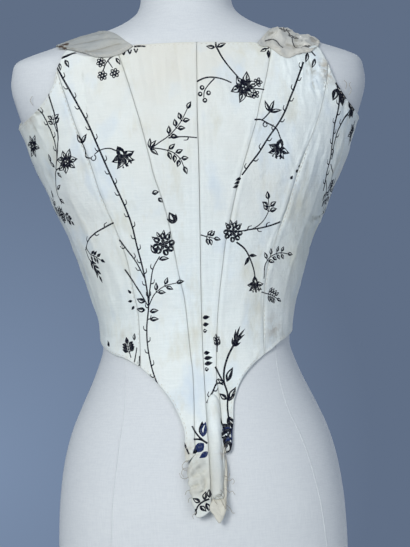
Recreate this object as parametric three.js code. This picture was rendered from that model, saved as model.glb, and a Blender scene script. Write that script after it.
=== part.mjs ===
// A boned bodice with a long pointed tail, on the smooth limbless dress form that it rests on.
// Millimetres. +Z is up, +X is the wearer's right as seen from behind, and the bodice's back faces -Y.
// The form stands on its flat base at Z = 0, and the origin is the middle of that base.
//
// The bodice is laid out on a chart: one direction is the distance round the body from the centre back
// line, the other is the height. A panel is a patch between four edges on that chart. Each point of the
// patch is then laid on the form and moved out along the form's normal, once for each face of the cloth.
import * as THREE from 'three';

const WALL = 1.5; // thickness of the layered cloth
const CLEARANCE = 1.6; // cloth to form, so that its facets stay clear of the form's
const SEAM_GAP = 0.3; // between two panels at a seam

// Colours and finishes
const COLOURS = {
  form: { color: 0xdde2e4, roughness: 0.85 },
  print: { color: 0xdedccf, roughness: 0.9 },
  linen: { color: 0xb9b5a4, roughness: 0.95 },
};

// Sections of the dress form, from its base to its neck
const FORM_SECTIONS = [
  [0, 158, 100, 88, -4, 2.35, 2.3],
  [50, 162, 108, 92, -6, 2.35, 2.3],
  [95, 165, 115, 94, -7, 2.3, 2.3],
  [145, 163, 119, 96, -7, 2.3, 2.3],
  [190, 157.5, 116, 97, -6, 2.25, 2.3],
  [227, 148.5, 108, 97, -5, 2.2, 2.25],
  [255, 137, 99, 94, -2, 2.15, 2.2],
  [280, 125, 90, 91, 0, 2.15, 2.15],
  [305, 114, 82, 88, 2, 2.15, 2.15],
  [328, 107, 76, 87, 4, 2.15, 2.15],
  [356, 108.8, 75, 90, 6, 2.2, 2.15],
  [390, 117.5, 79, 98, 8, 2.2, 2.15],
  [412, 124.5, 82, 105, 10, 2.25, 2.15],
  [444, 134.7, 88, 117, 12, 2.3, 2.15],
  [468, 144.5, 92, 126, 13, 2.3, 2.15],
  [489, 153.8, 96, 131, 13, 2.35, 2.15],
  [517.5, 166.5, 100, 132, 12, 2.4, 2.2],
  [546, 179.5, 102, 126, 9, 2.4, 2.2],
  [576, 189.5, 101, 113, 3, 2.35, 2.2],
  [596, 197, 99, 102, 0, 2.3, 2.2],
  [615, 203, 96, 93, -2, 2.25, 2.1],
  [629, 204, 93, 86, -3, 2.2, 2],
  [640, 203, 90, 80, -3, 2.1, 1.9],
  [653, 201, 86, 74, -3, 1.95, 1.75],
  [660, 188, 83, 71, -3, 1.85, 1.7],
  [668, 165, 80, 68, -2, 1.8, 1.65],
  [676, 140, 77, 65, -1, 1.8, 1.65],
  [684, 112, 73, 62, 0, 1.8, 1.7],
  [692, 87, 69, 60, 1, 1.85, 1.8],
  [700, 70, 64, 58.5, 2, 1.95, 1.9],
  [709, 58, 59, 57, 3, 2, 2],
  [718, 53, 55, 56.5, 4, 2, 2],
  [730, 51, 51, 56.5, 6, 2, 2],
  [750, 50, 46, 58, 9, 2, 2],
  [775, 50, 42, 61, 12, 2, 2],
  [792, 50, 40, 63, 13, 2, 2],
];
const FORM = readTable(
  ['height', 'halfWidth', 'back', 'front', 'middle', 'roundBack', 'roundFront'],
  FORM_SECTIONS,
);
const FORM_SIDES = 36;

// The flat plate that closes the form at each arm: how far out it lies
const ARM_PLATE = readTable(
  ['height', 'out'],
  [[546, 181], [576, 188.5], [600, 196], [629, 203], [653, 199]],
);
const ARM_PLATE_BOTTOM = 546;
const ARM_PLATE_TOP = 653;

// Centre back seam: it leans a little to +X of the form's centre line near the neck
const CENTRE_SEAM = readTable(['height', 'out'], [[590, 0], [620, 1.2], [650, 2.7], [665, 3.7]]);

// Seam between centre back and side back: distance from the centre back line, on each side
const SEAM_1 = readTable(
  ['height', 'left', 'right'],
  [
    [205, 15, 17],
    [237, 14.5, 16.8],
    [272, 13, 15.8],
    [297, 12.5, 14],
    [314, 13.5, 15],
    [345, 15.5, 17],
    [380, 18.5, 20],
    [411, 25, 24],
    [443, 30.5, 28.5],
    [474, 36.5, 35.5],
    [500, 44, 41.5],
    [520, 50.5, 47.5],
    [547, 56.5, 56.5],
    [573, 62.5, 65.5],
    [594, 68, 71],
    [627, 77, 81],
    [657, 86, 89],
  ],
);

// Seam between side back and front
const SEAM_2 = readTable(
  ['height', 'left', 'right'],
  [
    [307, 72, 74],
    [345, 72, 74],
    [370, 73, 74],
    [390, 77, 75.5],
    [412, 80.5, 78.5],
    [432, 85, 84],
    [448, 90.5, 90],
    [465, 97, 96.5],
    [487, 106.5, 105],
    [505, 113.5, 110.5],
    [533, 121.5, 120.5],
    [558, 130.5, 132.5],
    [582, 139, 143],
    [609, 147, 151],
    [626, 152.5, 155],
    [641, 157, 158],
  ],
);

// Outer edge of each centre back's end, below the tongues of the side backs
const TAIL_EDGE = {
  left: readTable(
    ['height', 'out'],
    [[146, 18], [160, 20.5], [176, 22], [192, 24.5], [200, 23.5], [204.5, 15]],
  ),
  right: readTable(['height', 'out'], [[166, 15.5], [176, 16], [204.5, 17]]),
};

// Heights that end the panels on each side
const ENDS = {
  left: { tail: 148, tongue: 205, seam2: 307 },
  right: { tail: 166, tongue: 213, seam2: 317 },
};
const SEAM_1_TOP = 657;
const SEAM_2_TOP = 641;

// Upper edges as out from the centre back, height: neckline, strap seam, and the top of the armhole
const BACK_TOP = [[0, 665], [18, 665], [36, 664.5], [54, 664], [72, 663], [80, 660], [88, 657]];
const SIDE_BACK_TOP = [
  [88, 657], [103, 653.5], [118, 652.5], [133, 654], [147, 657.5], [152.5, 650], [157, 641],
];

// Lower edges of the side backs, from the tongue's end round to the second seam
const SIDE_BACK_HEM = {
  left: [[15, 205], [24, 205], [26, 238], [34.5, 262], [45, 280], [57, 294], [72, 307]],
  right: [[17, 213], [19.5, 213], [28.5, 240], [33, 271], [43, 291], [57, 305.5], [74, 317]],
};

// Edges of a front, as the share of the way from the second seam to the centre front, and the height
const FRONT_TOP = [
  [0, 641], [0.03, 623], [0.08, 606], [0.15, 592], [0.23, 585], [0.31, 585], [0.385, 593], [0.445, 608],
  [0.49, 627], [0.525, 648], [0.6, 648], [0.675, 648], [0.75, 648], [0.785, 622], [0.83, 594], [0.9, 574],
  [1, 566],
];
const FRONT_HEM = {
  left: [
    [0, 307], [0.05, 313.5], [0.1, 318], [0.16, 321], [0.23, 327], [0.31, 333.5], [0.39, 338], [0.46, 340],
    [0.53, 340], [0.6, 338], [0.67, 333], [0.74, 325], [0.8, 316], [0.86, 305], [0.91, 295.5], [0.96, 287],
    [1, 282],
  ],
  right: [
    [0, 317], [0.05, 322.5], [0.1, 329.5], [0.16, 334], [0.23, 338.5], [0.31, 341.5], [0.39, 343], [0.46, 343],
    [0.53, 341.5], [0.6, 338.5], [0.67, 333], [0.74, 325], [0.8, 316], [0.86, 305], [0.91, 295.5], [0.96, 287],
    [1, 282],
  ],
};

// Rows of facets up a panel: above the tongue's end, and below it on a centre back
const UPPER_ROWS = 24;
const TAIL_ROWS = 4;
const CLOSER_AT_TOP = 0.5; // rows lie closer together where the shoulders round over

// Shoulder strap, one row for each line along it from its neck side to its arm side:
// out from the centre back and height where it meets the back, and out at the shoulder's ridge
const STRAP = [
  [72, 663, 98],
  [80, 660, 104],
  [88, 657, 110],
  [103, 653.5, 121],
  [118, 652.5, 132],
  [133, 654, 143],
  [147, 657.5, 154],
];
const STRAP_ROWS = 16;
const STRAP_FOLDS = 4;
const STRAP_FOLD_RISE = 1.8;
const STRAP_FRONT = { neckSide: 0.75, armSide: 0.525, height: 648 };
const STRAP_PIVOT_HEIGHT = 600; // of the line inside the shoulders that the strap's rays start from
const STRAP_REACH = [10, 160]; // shortest and longest ray
const STRAP_HALVINGS = 40; // of the ray's length, to find the surface
const STRAP_END_GAP = 0.5;

// The tail stands a little off the form, more and more towards its tip
const TAIL_STANDS_OFF = { from: 262, to: 150, most: 7 };

// The rounded tuck on the right of the tail
const PLEAT = { inner: 1, outer: 15.2, bottom: 168, top: 276, crown: 4, rim: 1, columns: 6, rows: 10 };
const PLEAT_GAP = 0.6; // to the panel that it lies on
const PLEAT_TIP = { length: 12, width: 0.35, crown: 0.3 }; // its upper end closes to these shares

// The lining that shows at the tail's right edge, and its folded flap at the tip
const LINING = readTable(
  ['height', 'inner', 'outer'],
  [
    [139.5, 6.2, 8.8],
    [144, 3.5, 12.5],
    [151, 1.2, 16.2],
    [158, 0.5, 17.2],
    [164, 0.5, 17.4],
    [180, 0.5, 18],
    [205, 0.5, 18.8],
    [211, 0.5, 17],
  ],
);
const LINING_ROWS = [139.5, 144, 151, 158, 161, 164.5, 180, 195, 211];
const LINING_COLUMNS = 3;
const LINING_WALL = 1.2;
const LINING_BEHIND = 0.5; // from the lining to the panels that lie over it
const FLAP = { from: 163.5, full: 159, rise: 2.4 };

// Tables and curves

// Smooth steps between the rows of a table, with no overshoot: one function of the first column for each
// other column
function readTable(names, rows) {
  const at = rows.map((row) => row[0]);
  const read = {};
  for (let column = 1; column < names.length; column++) {
    read[names[column]] = smoothCurve(at, rows.map((row) => row[column]));
  }
  return read;
}

function smoothCurve(at, values) {
  const last = at.length - 1;
  const rises = [];
  for (let i = 0; i < last; i++) {
    rises.push((values[i + 1] - values[i]) / (at[i + 1] - at[i]));
  }
  const slopes = at.map((_, i) => {
    if (i === 0) return rises[0];
    if (i === last) return rises[last - 1];
    const product = rises[i - 1] * rises[i];
    return product <= 0 ? 0 : (2 * product) / (rises[i - 1] + rises[i]);
  });
  return (where) => {
    const x = THREE.MathUtils.clamp(where, at[0], at[last]);
    let i = 0;
    while (i < last - 1 && x >= at[i + 1]) i++;
    const step = at[i + 1] - at[i];
    const t = (x - at[i]) / step;
    const startPart = (1 + 2 * t) * (1 - t) ** 2 * values[i] + t * (1 - t) ** 2 * step * slopes[i];
    const endPart = t * t * (3 - 2 * t) * values[i + 1] + t * t * (t - 1) * step * slopes[i + 1];
    return startPart + endPart;
  };
}

function mix(a, b, share) {
  return a + (b - a) * share;
}

// How far up a panel one of its rows lies
function rowLevel(row) {
  const share = row / UPPER_ROWS;
  return share * (1 + CLOSER_AT_TOP * (1 - share));
}

// A polyline's point, where each row of it is one column of facets
function alongRows(rows, share) {
  const place = share * (rows.length - 1);
  const i = Math.min(Math.floor(place), rows.length - 2);
  return [mix(rows[i][0], rows[i + 1][0], place - i), mix(rows[i][1], rows[i + 1][1], place - i)];
}

// The form's surface

const power = (value, exponent) => Math.sign(value) * Math.abs(value) ** exponent;

// A point of the form's section. turn is 0 at the centre back, PI at the centre front, positive to +X
function sectionPoint(height, turn) {
  const middle = FORM.middle(height);
  const across = Math.sin(turn);
  const along = -Math.cos(turn);
  const round = along < 0 ? FORM.roundBack(height) : FORM.roundFront(height);
  const depth = along < 0 ? FORM.back(height) + middle : FORM.front(height) - middle;
  const x = FORM.halfWidth(height) * power(across, 2 / round);
  const y = middle + depth * power(along, 2 / round);
  return new THREE.Vector3(x, y, height);
}

// 1 on the form's surface, less inside and more outside
function fullness(x, y, z) {
  const middle = FORM.middle(z);
  const behind = y < middle;
  const round = behind ? FORM.roundBack(z) : FORM.roundFront(z);
  const depth = behind ? FORM.back(z) + middle : FORM.front(z) - middle;
  return Math.abs(x / FORM.halfWidth(z)) ** round + Math.abs((y - middle) / depth) ** round;
}

const SLOPE_STEP = 0.05; // distance over which the surface's slope is taken

function outwards(point) {
  const h = SLOPE_STEP;
  const { x, y, z } = point;
  return new THREE.Vector3(
    fullness(x + h, y, z) - fullness(x - h, y, z),
    fullness(x, y + h, z) - fullness(x, y - h, z),
    fullness(x, y, z + h) - fullness(x, y, z - h),
  ).normalize();
}

function movedOut(point, distance) {
  return point.clone().addScaledVector(outwards(point), distance);
}

// Distances along the half section at one height, from the centre back to the centre front
const GIRTH_STEPS = 240;
const girths = new Map();

function girth(height) {
  if (!girths.has(height)) {
    const lengths = [0];
    let before = sectionPoint(height, 0);
    for (let i = 1; i <= GIRTH_STEPS; i++) {
      const here = sectionPoint(height, (Math.PI * i) / GIRTH_STEPS);
      lengths.push(lengths[i - 1] + here.distanceTo(before) * wornGrowth(height));
      before = here;
    }
    girths.set(height, lengths);
  }
  return girths.get(height);
}

// The cloth's outer face is longer round than the form below it
function wornGrowth(height) {
  const across = (FORM.halfWidth(height) + FORM.back(height)) / 2;
  return 1 + (CLEARANCE + WALL) / across;
}

function halfGirth(height) {
  return girth(height)[GIRTH_STEPS];
}

function turnAt(out, height) {
  const lengths = girth(height);
  const distance = Math.min(Math.abs(out), lengths[GIRTH_STEPS]);
  let i = 0;
  while (i < GIRTH_STEPS - 1 && lengths[i + 1] < distance) i++;
  const share = (distance - lengths[i]) / (lengths[i + 1] - lengths[i]);
  return (Math.sign(out) * Math.PI * (i + share)) / GIRTH_STEPS;
}

function standsOff(height) {
  const { from, to, most } = TAIL_STANDS_OFF;
  return most * (1 - THREE.MathUtils.smoothstep(height, to, from));
}

// A place on the chart laid on the form, and moved out by depth
function laidOn(out, height, depth) {
  return movedOut(sectionPoint(height, turnAt(out, height)), depth + standsOff(height));
}

// Closed walls

// A wall of cloth on a grid. place(column share, row index, face) gives a point, face 0 inside, 1 outside
function wall(columns, rows, place) {
  const positions = [];
  for (const face of [0, 1]) {
    for (let row = 0; row <= rows; row++) {
      for (let column = 0; column <= columns; column++) {
        positions.push(...place(column / columns, row, face).toArray());
      }
    }
  }
  const across = columns + 1;
  const faceSize = across * (rows + 1);
  const at = (column, row, face) => face * faceSize + row * across + column;
  const triangles = [];
  const quad = (a, b, c, d) => triangles.push(a, b, c, a, c, d);
  for (let row = 0; row < rows; row++) {
    for (let column = 0; column < columns; column++) {
      const corners = (face) => [
        at(column, row, face),
        at(column + 1, row, face),
        at(column + 1, row + 1, face),
        at(column, row + 1, face),
      ];
      quad(...corners(1));
      quad(...corners(0).reverse());
    }
  }
  for (let column = 0; column < columns; column++) {
    quad(at(column, 0, 0), at(column + 1, 0, 0), at(column + 1, 0, 1), at(column, 0, 1));
    quad(at(column + 1, rows, 0), at(column, rows, 0), at(column, rows, 1), at(column + 1, rows, 1));
  }
  for (let row = 0; row < rows; row++) {
    quad(at(0, row + 1, 0), at(0, row, 0), at(0, row, 1), at(0, row + 1, 1));
    quad(at(columns, row, 0), at(columns, row + 1, 0), at(columns, row + 1, 1), at(columns, row, 1));
  }
  return closedGeometry(positions, triangles);
}

// A geometry whose faces point out, whichever way round its grid ran
function closedGeometry(positions, triangles) {
  const corner = (i) => new THREE.Vector3().fromArray(positions, 3 * triangles[i]);
  let volume = 0;
  for (let i = 0; i < triangles.length; i += 3) {
    volume += corner(i).dot(corner(i + 1).cross(corner(i + 2)));
  }
  if (volume < 0) triangles.reverse();
  const geometry = new THREE.BufferGeometry();
  geometry.setAttribute('position', new THREE.Float32BufferAttribute(positions, 3));
  geometry.setIndex(triangles);
  geometry.computeVertexNormals();
  return geometry;
}

// A patch between four edges on the chart: the two seams follow its sides, the edges close its ends
function patch({ bottom, top, near, far, share, level }) {
  const low = bottom(share);
  const high = top(share);
  const left = near(level);
  const right = far(level);
  return [0, 1].map((i) => {
    const ends = mix(low[i], high[i], level);
    const sides = mix(left[i], right[i], share);
    const corners = mix(mix(bottom(0)[i], bottom(1)[i], share), mix(top(0)[i], top(1)[i], share), level);
    return ends + sides - corners;
  });
}

// The parts

const group = new THREE.Group();

function addPiece(name, finish, geometry) {
  const { color, roughness } = COLOURS[finish];
  const mesh = new THREE.Mesh(geometry, new THREE.MeshStandardMaterial({ color, roughness, metalness: 0 }));
  mesh.name = name;
  group.add(mesh);
}

// Dress form: rings of its sections, cut flat at the arms, with a flat base and a flat neck
function torsoForm() {
  const heights = FORM_SECTIONS.map((row) => row[0]);
  const positions = [];
  for (const height of heights) {
    for (let side = 0; side < FORM_SIDES; side++) {
      const point = sectionPoint(height, (2 * Math.PI * side) / FORM_SIDES - Math.PI);
      if (height > ARM_PLATE_BOTTOM && height <= ARM_PLATE_TOP) {
        const plate = ARM_PLATE.out(height);
        point.x = THREE.MathUtils.clamp(point.x, -plate, plate);
      }
      positions.push(...point.toArray());
    }
  }
  const triangles = [];
  const at = (ring, side) => ring * FORM_SIDES + (side % FORM_SIDES);
  for (let ring = 0; ring < heights.length - 1; ring++) {
    for (let side = 0; side < FORM_SIDES; side++) {
      triangles.push(at(ring, side), at(ring, side + 1), at(ring + 1, side + 1));
      triangles.push(at(ring, side), at(ring + 1, side + 1), at(ring + 1, side));
    }
  }
  for (let side = 1; side < FORM_SIDES - 1; side++) {
    triangles.push(at(0, 0), at(0, side + 1), at(0, side));
    triangles.push(at(heights.length - 1, 0), at(heights.length - 1, side), at(heights.length - 1, side + 1));
  }
  return closedGeometry(positions, triangles);
}

// An edge whose ends are moved to the seams that it runs between
function fitted(rows, share, first, last) {
  const [out, height] = alongRows(rows, share);
  return [refitted(rows, out, first, last), height];
}

function refitted(rows, out, first, last) {
  const [from, to] = [rows[0][0], rows.at(-1)[0]];
  return mix(first, last, (out - from) / (to - from));
}

// Centre back: from the centre seam to the first seam, and down into the tail
function centreBack(side) {
  const sign = side === 'left' ? -1 : 1;
  const { tail, tongue } = ENDS[side];
  const centre = (height) => sign * CENTRE_SEAM.out(height) + SEAM_GAP / 2;
  const heightAt = (row) => {
    if (row <= TAIL_ROWS) return mix(tail, tongue, row / TAIL_ROWS);
    return mix(tongue, SEAM_1_TOP, rowLevel(row - TAIL_ROWS));
  };
  const outerEdge = (height) => {
    const onTail = height < tongue;
    return (onTail ? TAIL_EDGE[side].out(height) : SEAM_1[side](height)) - (onTail ? 0 : SEAM_GAP / 2);
  };
  const span = SEAM_1_TOP - tail;
  const edges = {
    bottom: (share) => [mix(centre(tail), outerEdge(tail), share), tail],
    top: (share) => fitted(BACK_TOP, share, centre(BACK_TOP[0][1]), outerEdge(SEAM_1_TOP)),
    near: (level) => [centre(mix(tail, BACK_TOP[0][1], level)), mix(tail, BACK_TOP[0][1], level)],
    far: (level) => [outerEdge(tail + span * level), tail + span * level],
  };
  const columns = BACK_TOP.length - 1;
  return wall(columns, TAIL_ROWS + UPPER_ROWS, (share, row, face) => {
    const level = (heightAt(row) - tail) / span;
    const [out, height] = patch({ ...edges, share, level });
    return laidOn(sign * out, height, CLEARANCE + face * WALL);
  });
}

// Side back: between the two seams, with a tongue along the tail
function sideBack(side) {
  const sign = side === 'left' ? -1 : 1;
  const { tongue, seam2 } = ENDS[side];
  const hem = SIDE_BACK_HEM[side];
  const near = (height) => SEAM_1[side](height) + SEAM_GAP / 2;
  const far = (height) => SEAM_2[side](height) - SEAM_GAP / 2;
  const edges = {
    bottom: (share) => fitted(hem, share, near(tongue), far(seam2)),
    top: (share) => fitted(SIDE_BACK_TOP, share, near(SEAM_1_TOP), far(SEAM_2_TOP)),
    near: (level) => [near(mix(tongue, SEAM_1_TOP, level)), mix(tongue, SEAM_1_TOP, level)],
    far: (level) => [far(mix(seam2, SEAM_2_TOP, level)), mix(seam2, SEAM_2_TOP, level)],
  };
  return wall(hem.length - 1, UPPER_ROWS, (share, row, face) => {
    const [out, height] = patch({ ...edges, share, level: rowLevel(row) });
    return laidOn(sign * out, height, CLEARANCE + face * WALL);
  });
}

// Front: from the second seam, under the arm, to the centre front
function frontDistance(side, share, height) {
  const start = SEAM_2[side](height) + SEAM_GAP / 2;
  return mix(start, halfGirth(height) - SEAM_GAP / 2, share);
}

function front(side) {
  const sign = side === 'left' ? -1 : 1;
  const hem = FRONT_HEM[side];
  const [nearLow, nearHigh] = [hem[0][1], FRONT_TOP[0][1]];
  const [farLow, farHigh] = [hem.at(-1)[1], FRONT_TOP.at(-1)[1]];
  const edges = {
    bottom: (share) => alongRows(hem, share),
    top: (share) => alongRows(FRONT_TOP, share),
    near: (level) => [0, mix(nearLow, nearHigh, level)],
    far: (level) => [1, mix(farLow, farHigh, level)],
  };
  return wall(hem.length - 1, UPPER_ROWS, (share, row, face) => {
    const [way, height] = patch({ ...edges, share, level: rowLevel(row) });
    return laidOn(sign * frontDistance(side, way, height), height, CLEARANCE + face * WALL);
  });
}

// Where a strap's back end meets the upper edges of the two back panels
function strapSeam(side, out) {
  const seam1 = SEAM_1[side](SEAM_1_TOP);
  const centre = (side === 'left' ? -1 : 1) * CENTRE_SEAM.out(BACK_TOP[0][1]);
  if (out <= BACK_TOP.at(-1)[0]) return refitted(BACK_TOP, out, centre, seam1);
  return refitted(SIDE_BACK_TOP, out, seam1, SEAM_2[side](SEAM_2_TOP));
}

// Shoulder strap: rays from a line inside the shoulder find the form's surface from back to front
function strap(side) {
  const sign = side === 'left' ? -1 : 1;
  const swing = (point) => Math.atan2(point.z - STRAP_PIVOT_HEIGHT, -point.y);
  const along = (x, angle, reach) =>
    new THREE.Vector3(x, -reach * Math.cos(angle), STRAP_PIVOT_HEIGHT + reach * Math.sin(angle));
  const onRay = (x, angle) => {
    let [near, far] = STRAP_REACH;
    for (let step = 0; step < STRAP_HALVINGS; step++) {
      const middle = (near + far) / 2;
      const inside = fullness(...along(x, angle, middle).toArray()) < 1;
      [near, far] = inside ? [middle, far] : [near, middle];
    }
    return along(x, angle, near);
  };
  const columns = STRAP.length - 1;
  return wall(columns, STRAP_ROWS, (share, row, face) => {
    const [outAtBack, heightAtBack, outAtRidge] = STRAP[Math.round(share * columns)];
    const back = sectionPoint(heightAtBack, turnAt(sign * strapSeam(side, outAtBack), heightAtBack));
    const way = mix(STRAP_FRONT.neckSide, STRAP_FRONT.armSide, share);
    const frontOut = frontDistance(side, way, STRAP_FRONT.height);
    const end = sectionPoint(STRAP_FRONT.height, turnAt(sign * frontOut, STRAP_FRONT.height));
    const endGap = STRAP_END_GAP / Math.hypot(back.y, back.z - STRAP_PIVOT_HEIGHT);
    const passed = row / STRAP_ROWS;
    const angle = mix(swing(back) + endGap, swing(end) - 2 * endGap, passed);
    const ridge = 2 * sign * outAtRidge - (back.x + end.x) / 2;
    const x = (1 - passed) ** 2 * back.x + 2 * passed * (1 - passed) * ridge + passed ** 2 * end.x;
    const fold = (STRAP_FOLD_RISE * (1 - Math.cos(2 * Math.PI * STRAP_FOLDS * passed))) / 2;
    return movedOut(onRay(x, angle), CLEARANCE + face * (WALL + fold));
  });
}

// Tuck on the tail: a rounded ridge that lies on the right centre back
function tailPleat() {
  const onPanel = CLEARANCE + WALL + PLEAT_GAP;
  return wall(PLEAT.columns, PLEAT.rows, (share, row, face) => {
    const height = mix(PLEAT.bottom, PLEAT.top, row / PLEAT.rows);
    const fromTop = Math.min((PLEAT.top - height) / PLEAT_TIP.length, 1);
    const opened = Math.sqrt(1 - (1 - fromTop) ** 2);
    const middle = (PLEAT.inner + PLEAT.outer) / 2;
    const halfWidth = ((PLEAT.outer - PLEAT.inner) / 2) * mix(PLEAT_TIP.width, 1, opened);
    const bulge = Math.sin(Math.PI * share) * PLEAT.crown * mix(PLEAT_TIP.crown, 1, opened);
    return laidOn(middle + (2 * share - 1) * halfWidth, height, onPanel + face * (PLEAT.rim + bulge));
  });
}

// Lining at the tail: under the panels, then folded up over itself below their ends
function tailLining() {
  const under = CLEARANCE - LINING_BEHIND - LINING_WALL;
  return wall(LINING_COLUMNS, LINING_ROWS.length - 1, (share, row, face) => {
    const height = LINING_ROWS[row];
    const out = mix(LINING.inner(height), LINING.outer(height), share);
    const folded = 1 - THREE.MathUtils.smoothstep(height, FLAP.full, FLAP.from);
    return laidOn(out, height, under + face * (LINING_WALL + FLAP.rise * folded));
  });
}

addPiece('torso_form', 'form', torsoForm());
for (const side of ['left', 'right']) {
  addPiece(`back_${side}`, 'print', centreBack(side));
  addPiece(`side_back_${side}`, 'print', sideBack(side));
  addPiece(`front_${side}`, 'print', front(side));
  addPiece(`strap_${side}`, 'linen', strap(side));
}
addPiece('tail_pleat', 'print', tailPleat());
addPiece('tail_lining', 'linen', tailLining());

export default group;
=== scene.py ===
# %% [markdown]
# A boned bodice on a dress form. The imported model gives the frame: every panel of cloth and the form
# itself is already there as a plain solid of the right size. This lesson puts the real surfaces in the
# places of those solids: a smooth covered form, thin printed cloth with rolled edges and creases,
# stitches and loose threads. All the shapes are in metres in the end, but a dressmaker thinks in
# millimetres, so the sizes below are in millimetres and one constant turns them into metres.

# %% Load the frame
import math

import bpy
import numpy as np
from mathutils import Matrix, Vector
from mathutils.geometry import delaunay_2d_cdt


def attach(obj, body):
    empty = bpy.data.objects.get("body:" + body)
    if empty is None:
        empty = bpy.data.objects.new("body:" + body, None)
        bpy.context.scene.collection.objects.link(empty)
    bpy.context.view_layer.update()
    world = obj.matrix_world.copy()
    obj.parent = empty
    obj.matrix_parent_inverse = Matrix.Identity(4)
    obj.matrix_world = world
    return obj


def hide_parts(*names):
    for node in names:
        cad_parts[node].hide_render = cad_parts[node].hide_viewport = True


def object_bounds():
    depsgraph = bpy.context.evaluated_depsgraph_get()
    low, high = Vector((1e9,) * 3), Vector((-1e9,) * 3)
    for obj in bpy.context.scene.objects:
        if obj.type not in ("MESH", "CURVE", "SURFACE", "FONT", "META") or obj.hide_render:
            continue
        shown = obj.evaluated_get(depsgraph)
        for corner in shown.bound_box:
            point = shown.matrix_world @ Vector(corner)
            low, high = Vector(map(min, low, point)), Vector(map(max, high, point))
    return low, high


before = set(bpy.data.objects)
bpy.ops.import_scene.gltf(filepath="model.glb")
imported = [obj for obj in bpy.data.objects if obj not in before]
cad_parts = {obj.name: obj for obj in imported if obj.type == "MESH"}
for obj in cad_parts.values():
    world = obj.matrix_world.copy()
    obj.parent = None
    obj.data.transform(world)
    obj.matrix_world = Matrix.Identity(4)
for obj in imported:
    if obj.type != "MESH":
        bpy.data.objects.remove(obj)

MM = 0.001
cad_box = [list(corner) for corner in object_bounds()]
cad_size = [round(high - low, 3) for low, high in zip(*cad_box)]
print("The plain solids measure", cad_size, "metres")

# %% [markdown]
# The form and the cloth follow the same measurements as the solids. A short table gives the form's half
# width and depths at a few heights, and a smooth curve runs through each column. The curve never
# overshoots its rows, as a careful hand with a French curve would not. numpy reads whole lists of
# heights at once, which keeps the later meshes quick.

# %% Smooth curves through short tables
def smooth_curve(at, values):
    at, values = np.asarray(at, float), np.asarray(values, float)
    rises = np.diff(values) / np.diff(at)
    product = rises[:-1] * rises[1:]
    total = np.where(product > 0, rises[:-1] + rises[1:], 1.0)
    middle = np.where(product > 0, 2 * product / total, 0.0)
    slopes = np.concatenate([rises[:1], middle, rises[-1:]])

    def read(where):
        x = np.clip(where, at[0], at[-1])
        i = np.clip(np.searchsorted(at, x, side="right") - 1, 0, len(at) - 2)
        step = at[i + 1] - at[i]
        t = (x - at[i]) / step
        start = (1 + 2 * t) * (1 - t) ** 2 * values[i] + t * (1 - t) ** 2 * step * slopes[i]
        end = t * t * (3 - 2 * t) * values[i + 1] + t * t * (t - 1) * step * slopes[i + 1]
        return start + end

    return read


def read_table(names, rows):
    columns = np.array(rows, float).T
    return {name: smooth_curve(columns[0], column) for name, column in zip(names[1:], columns[1:])}


def mix(a, b, share):
    return a + (b - a) * share


def ease(value, low, high):
    t = np.clip((value - low) / (high - low), 0, 1)
    return t * t * (3 - 2 * t)


FORM_SECTIONS = [
    [0, 158, 100, 88, -4, 2.35, 2.3],
    [50, 162, 108, 92, -6, 2.35, 2.3],
    [95, 165, 115, 94, -7, 2.3, 2.3],
    [145, 163, 119, 96, -7, 2.3, 2.3],
    [190, 157.5, 116, 97, -6, 2.25, 2.3],
    [227, 148.5, 108, 97, -5, 2.2, 2.25],
    [255, 137, 99, 94, -2, 2.15, 2.2],
    [280, 125, 90, 91, 0, 2.15, 2.15],
    [305, 114, 82, 88, 2, 2.15, 2.15],
    [328, 107, 76, 87, 4, 2.15, 2.15],
    [356, 108.8, 75, 90, 6, 2.2, 2.15],
    [390, 117.5, 79, 98, 8, 2.2, 2.15],
    [412, 124.5, 82, 105, 10, 2.25, 2.15],
    [444, 134.7, 88, 117, 12, 2.3, 2.15],
    [468, 144.5, 92, 126, 13, 2.3, 2.15],
    [489, 153.8, 96, 131, 13, 2.35, 2.15],
    [517.5, 166.5, 100, 132, 12, 2.4, 2.2],
    [546, 179.5, 102, 126, 9, 2.4, 2.2],
    [576, 189.5, 101, 113, 3, 2.35, 2.2],
    [596, 197, 99, 102, 0, 2.3, 2.2],
    [615, 203, 96, 93, -2, 2.25, 2.1],
    [629, 204, 93, 86, -3, 2.2, 2],
    [640, 203, 90, 80, -3, 2.1, 1.9],
    [653, 201, 86, 74, -3, 1.95, 1.75],
    [660, 188, 83, 71, -3, 1.85, 1.7],
    [668, 165, 80, 68, -2, 1.8, 1.65],
    [676, 140, 77, 65, -1, 1.8, 1.65],
    [684, 112, 73, 62, 0, 1.8, 1.7],
    [692, 87, 69, 60, 1, 1.85, 1.8],
    [700, 70, 64, 58.5, 2, 1.95, 1.9],
    [709, 58, 59, 57, 3, 2, 2],
    [718, 53, 55, 56.5, 4, 2, 2],
    [730, 51, 51, 56.5, 6, 2, 2],
    [750, 50, 46, 58, 9, 2, 2],
    [775, 50, 42, 61, 12, 2, 2],
    [792, 50, 40, 63, 13, 2, 2],
]
FORM = read_table(
    ["height", "half_width", "back", "front", "middle", "round_back", "round_front"], FORM_SECTIONS)
FORM_TOP = FORM_SECTIONS[-1][0]
ARM_PLATE = read_table(["height", "out"], [[546, 181], [576, 188.5], [600, 196], [629, 203], [653, 199]])
ARM_PLATE_BOTTOM, ARM_PLATE_TOP = 546, 653
print("Waist of the form:", round(2 * float(FORM["half_width"](328))), "mm across")

# %% [markdown]
# The surface of the form is a stack of rounded sections, wider than deep. A place on a section is given
# by its turn: 0 at the centre back, a half circle at the centre front. The cloth lies a little outside,
# so the direction straight out of the surface is needed too. It is the slope of a fullness that is 1
# on the surface and more outside.

# %% The form's surface
SLOPE_STEP = 0.05


def power(value, exponent):
    return np.sign(value) * np.abs(value) ** exponent


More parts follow.
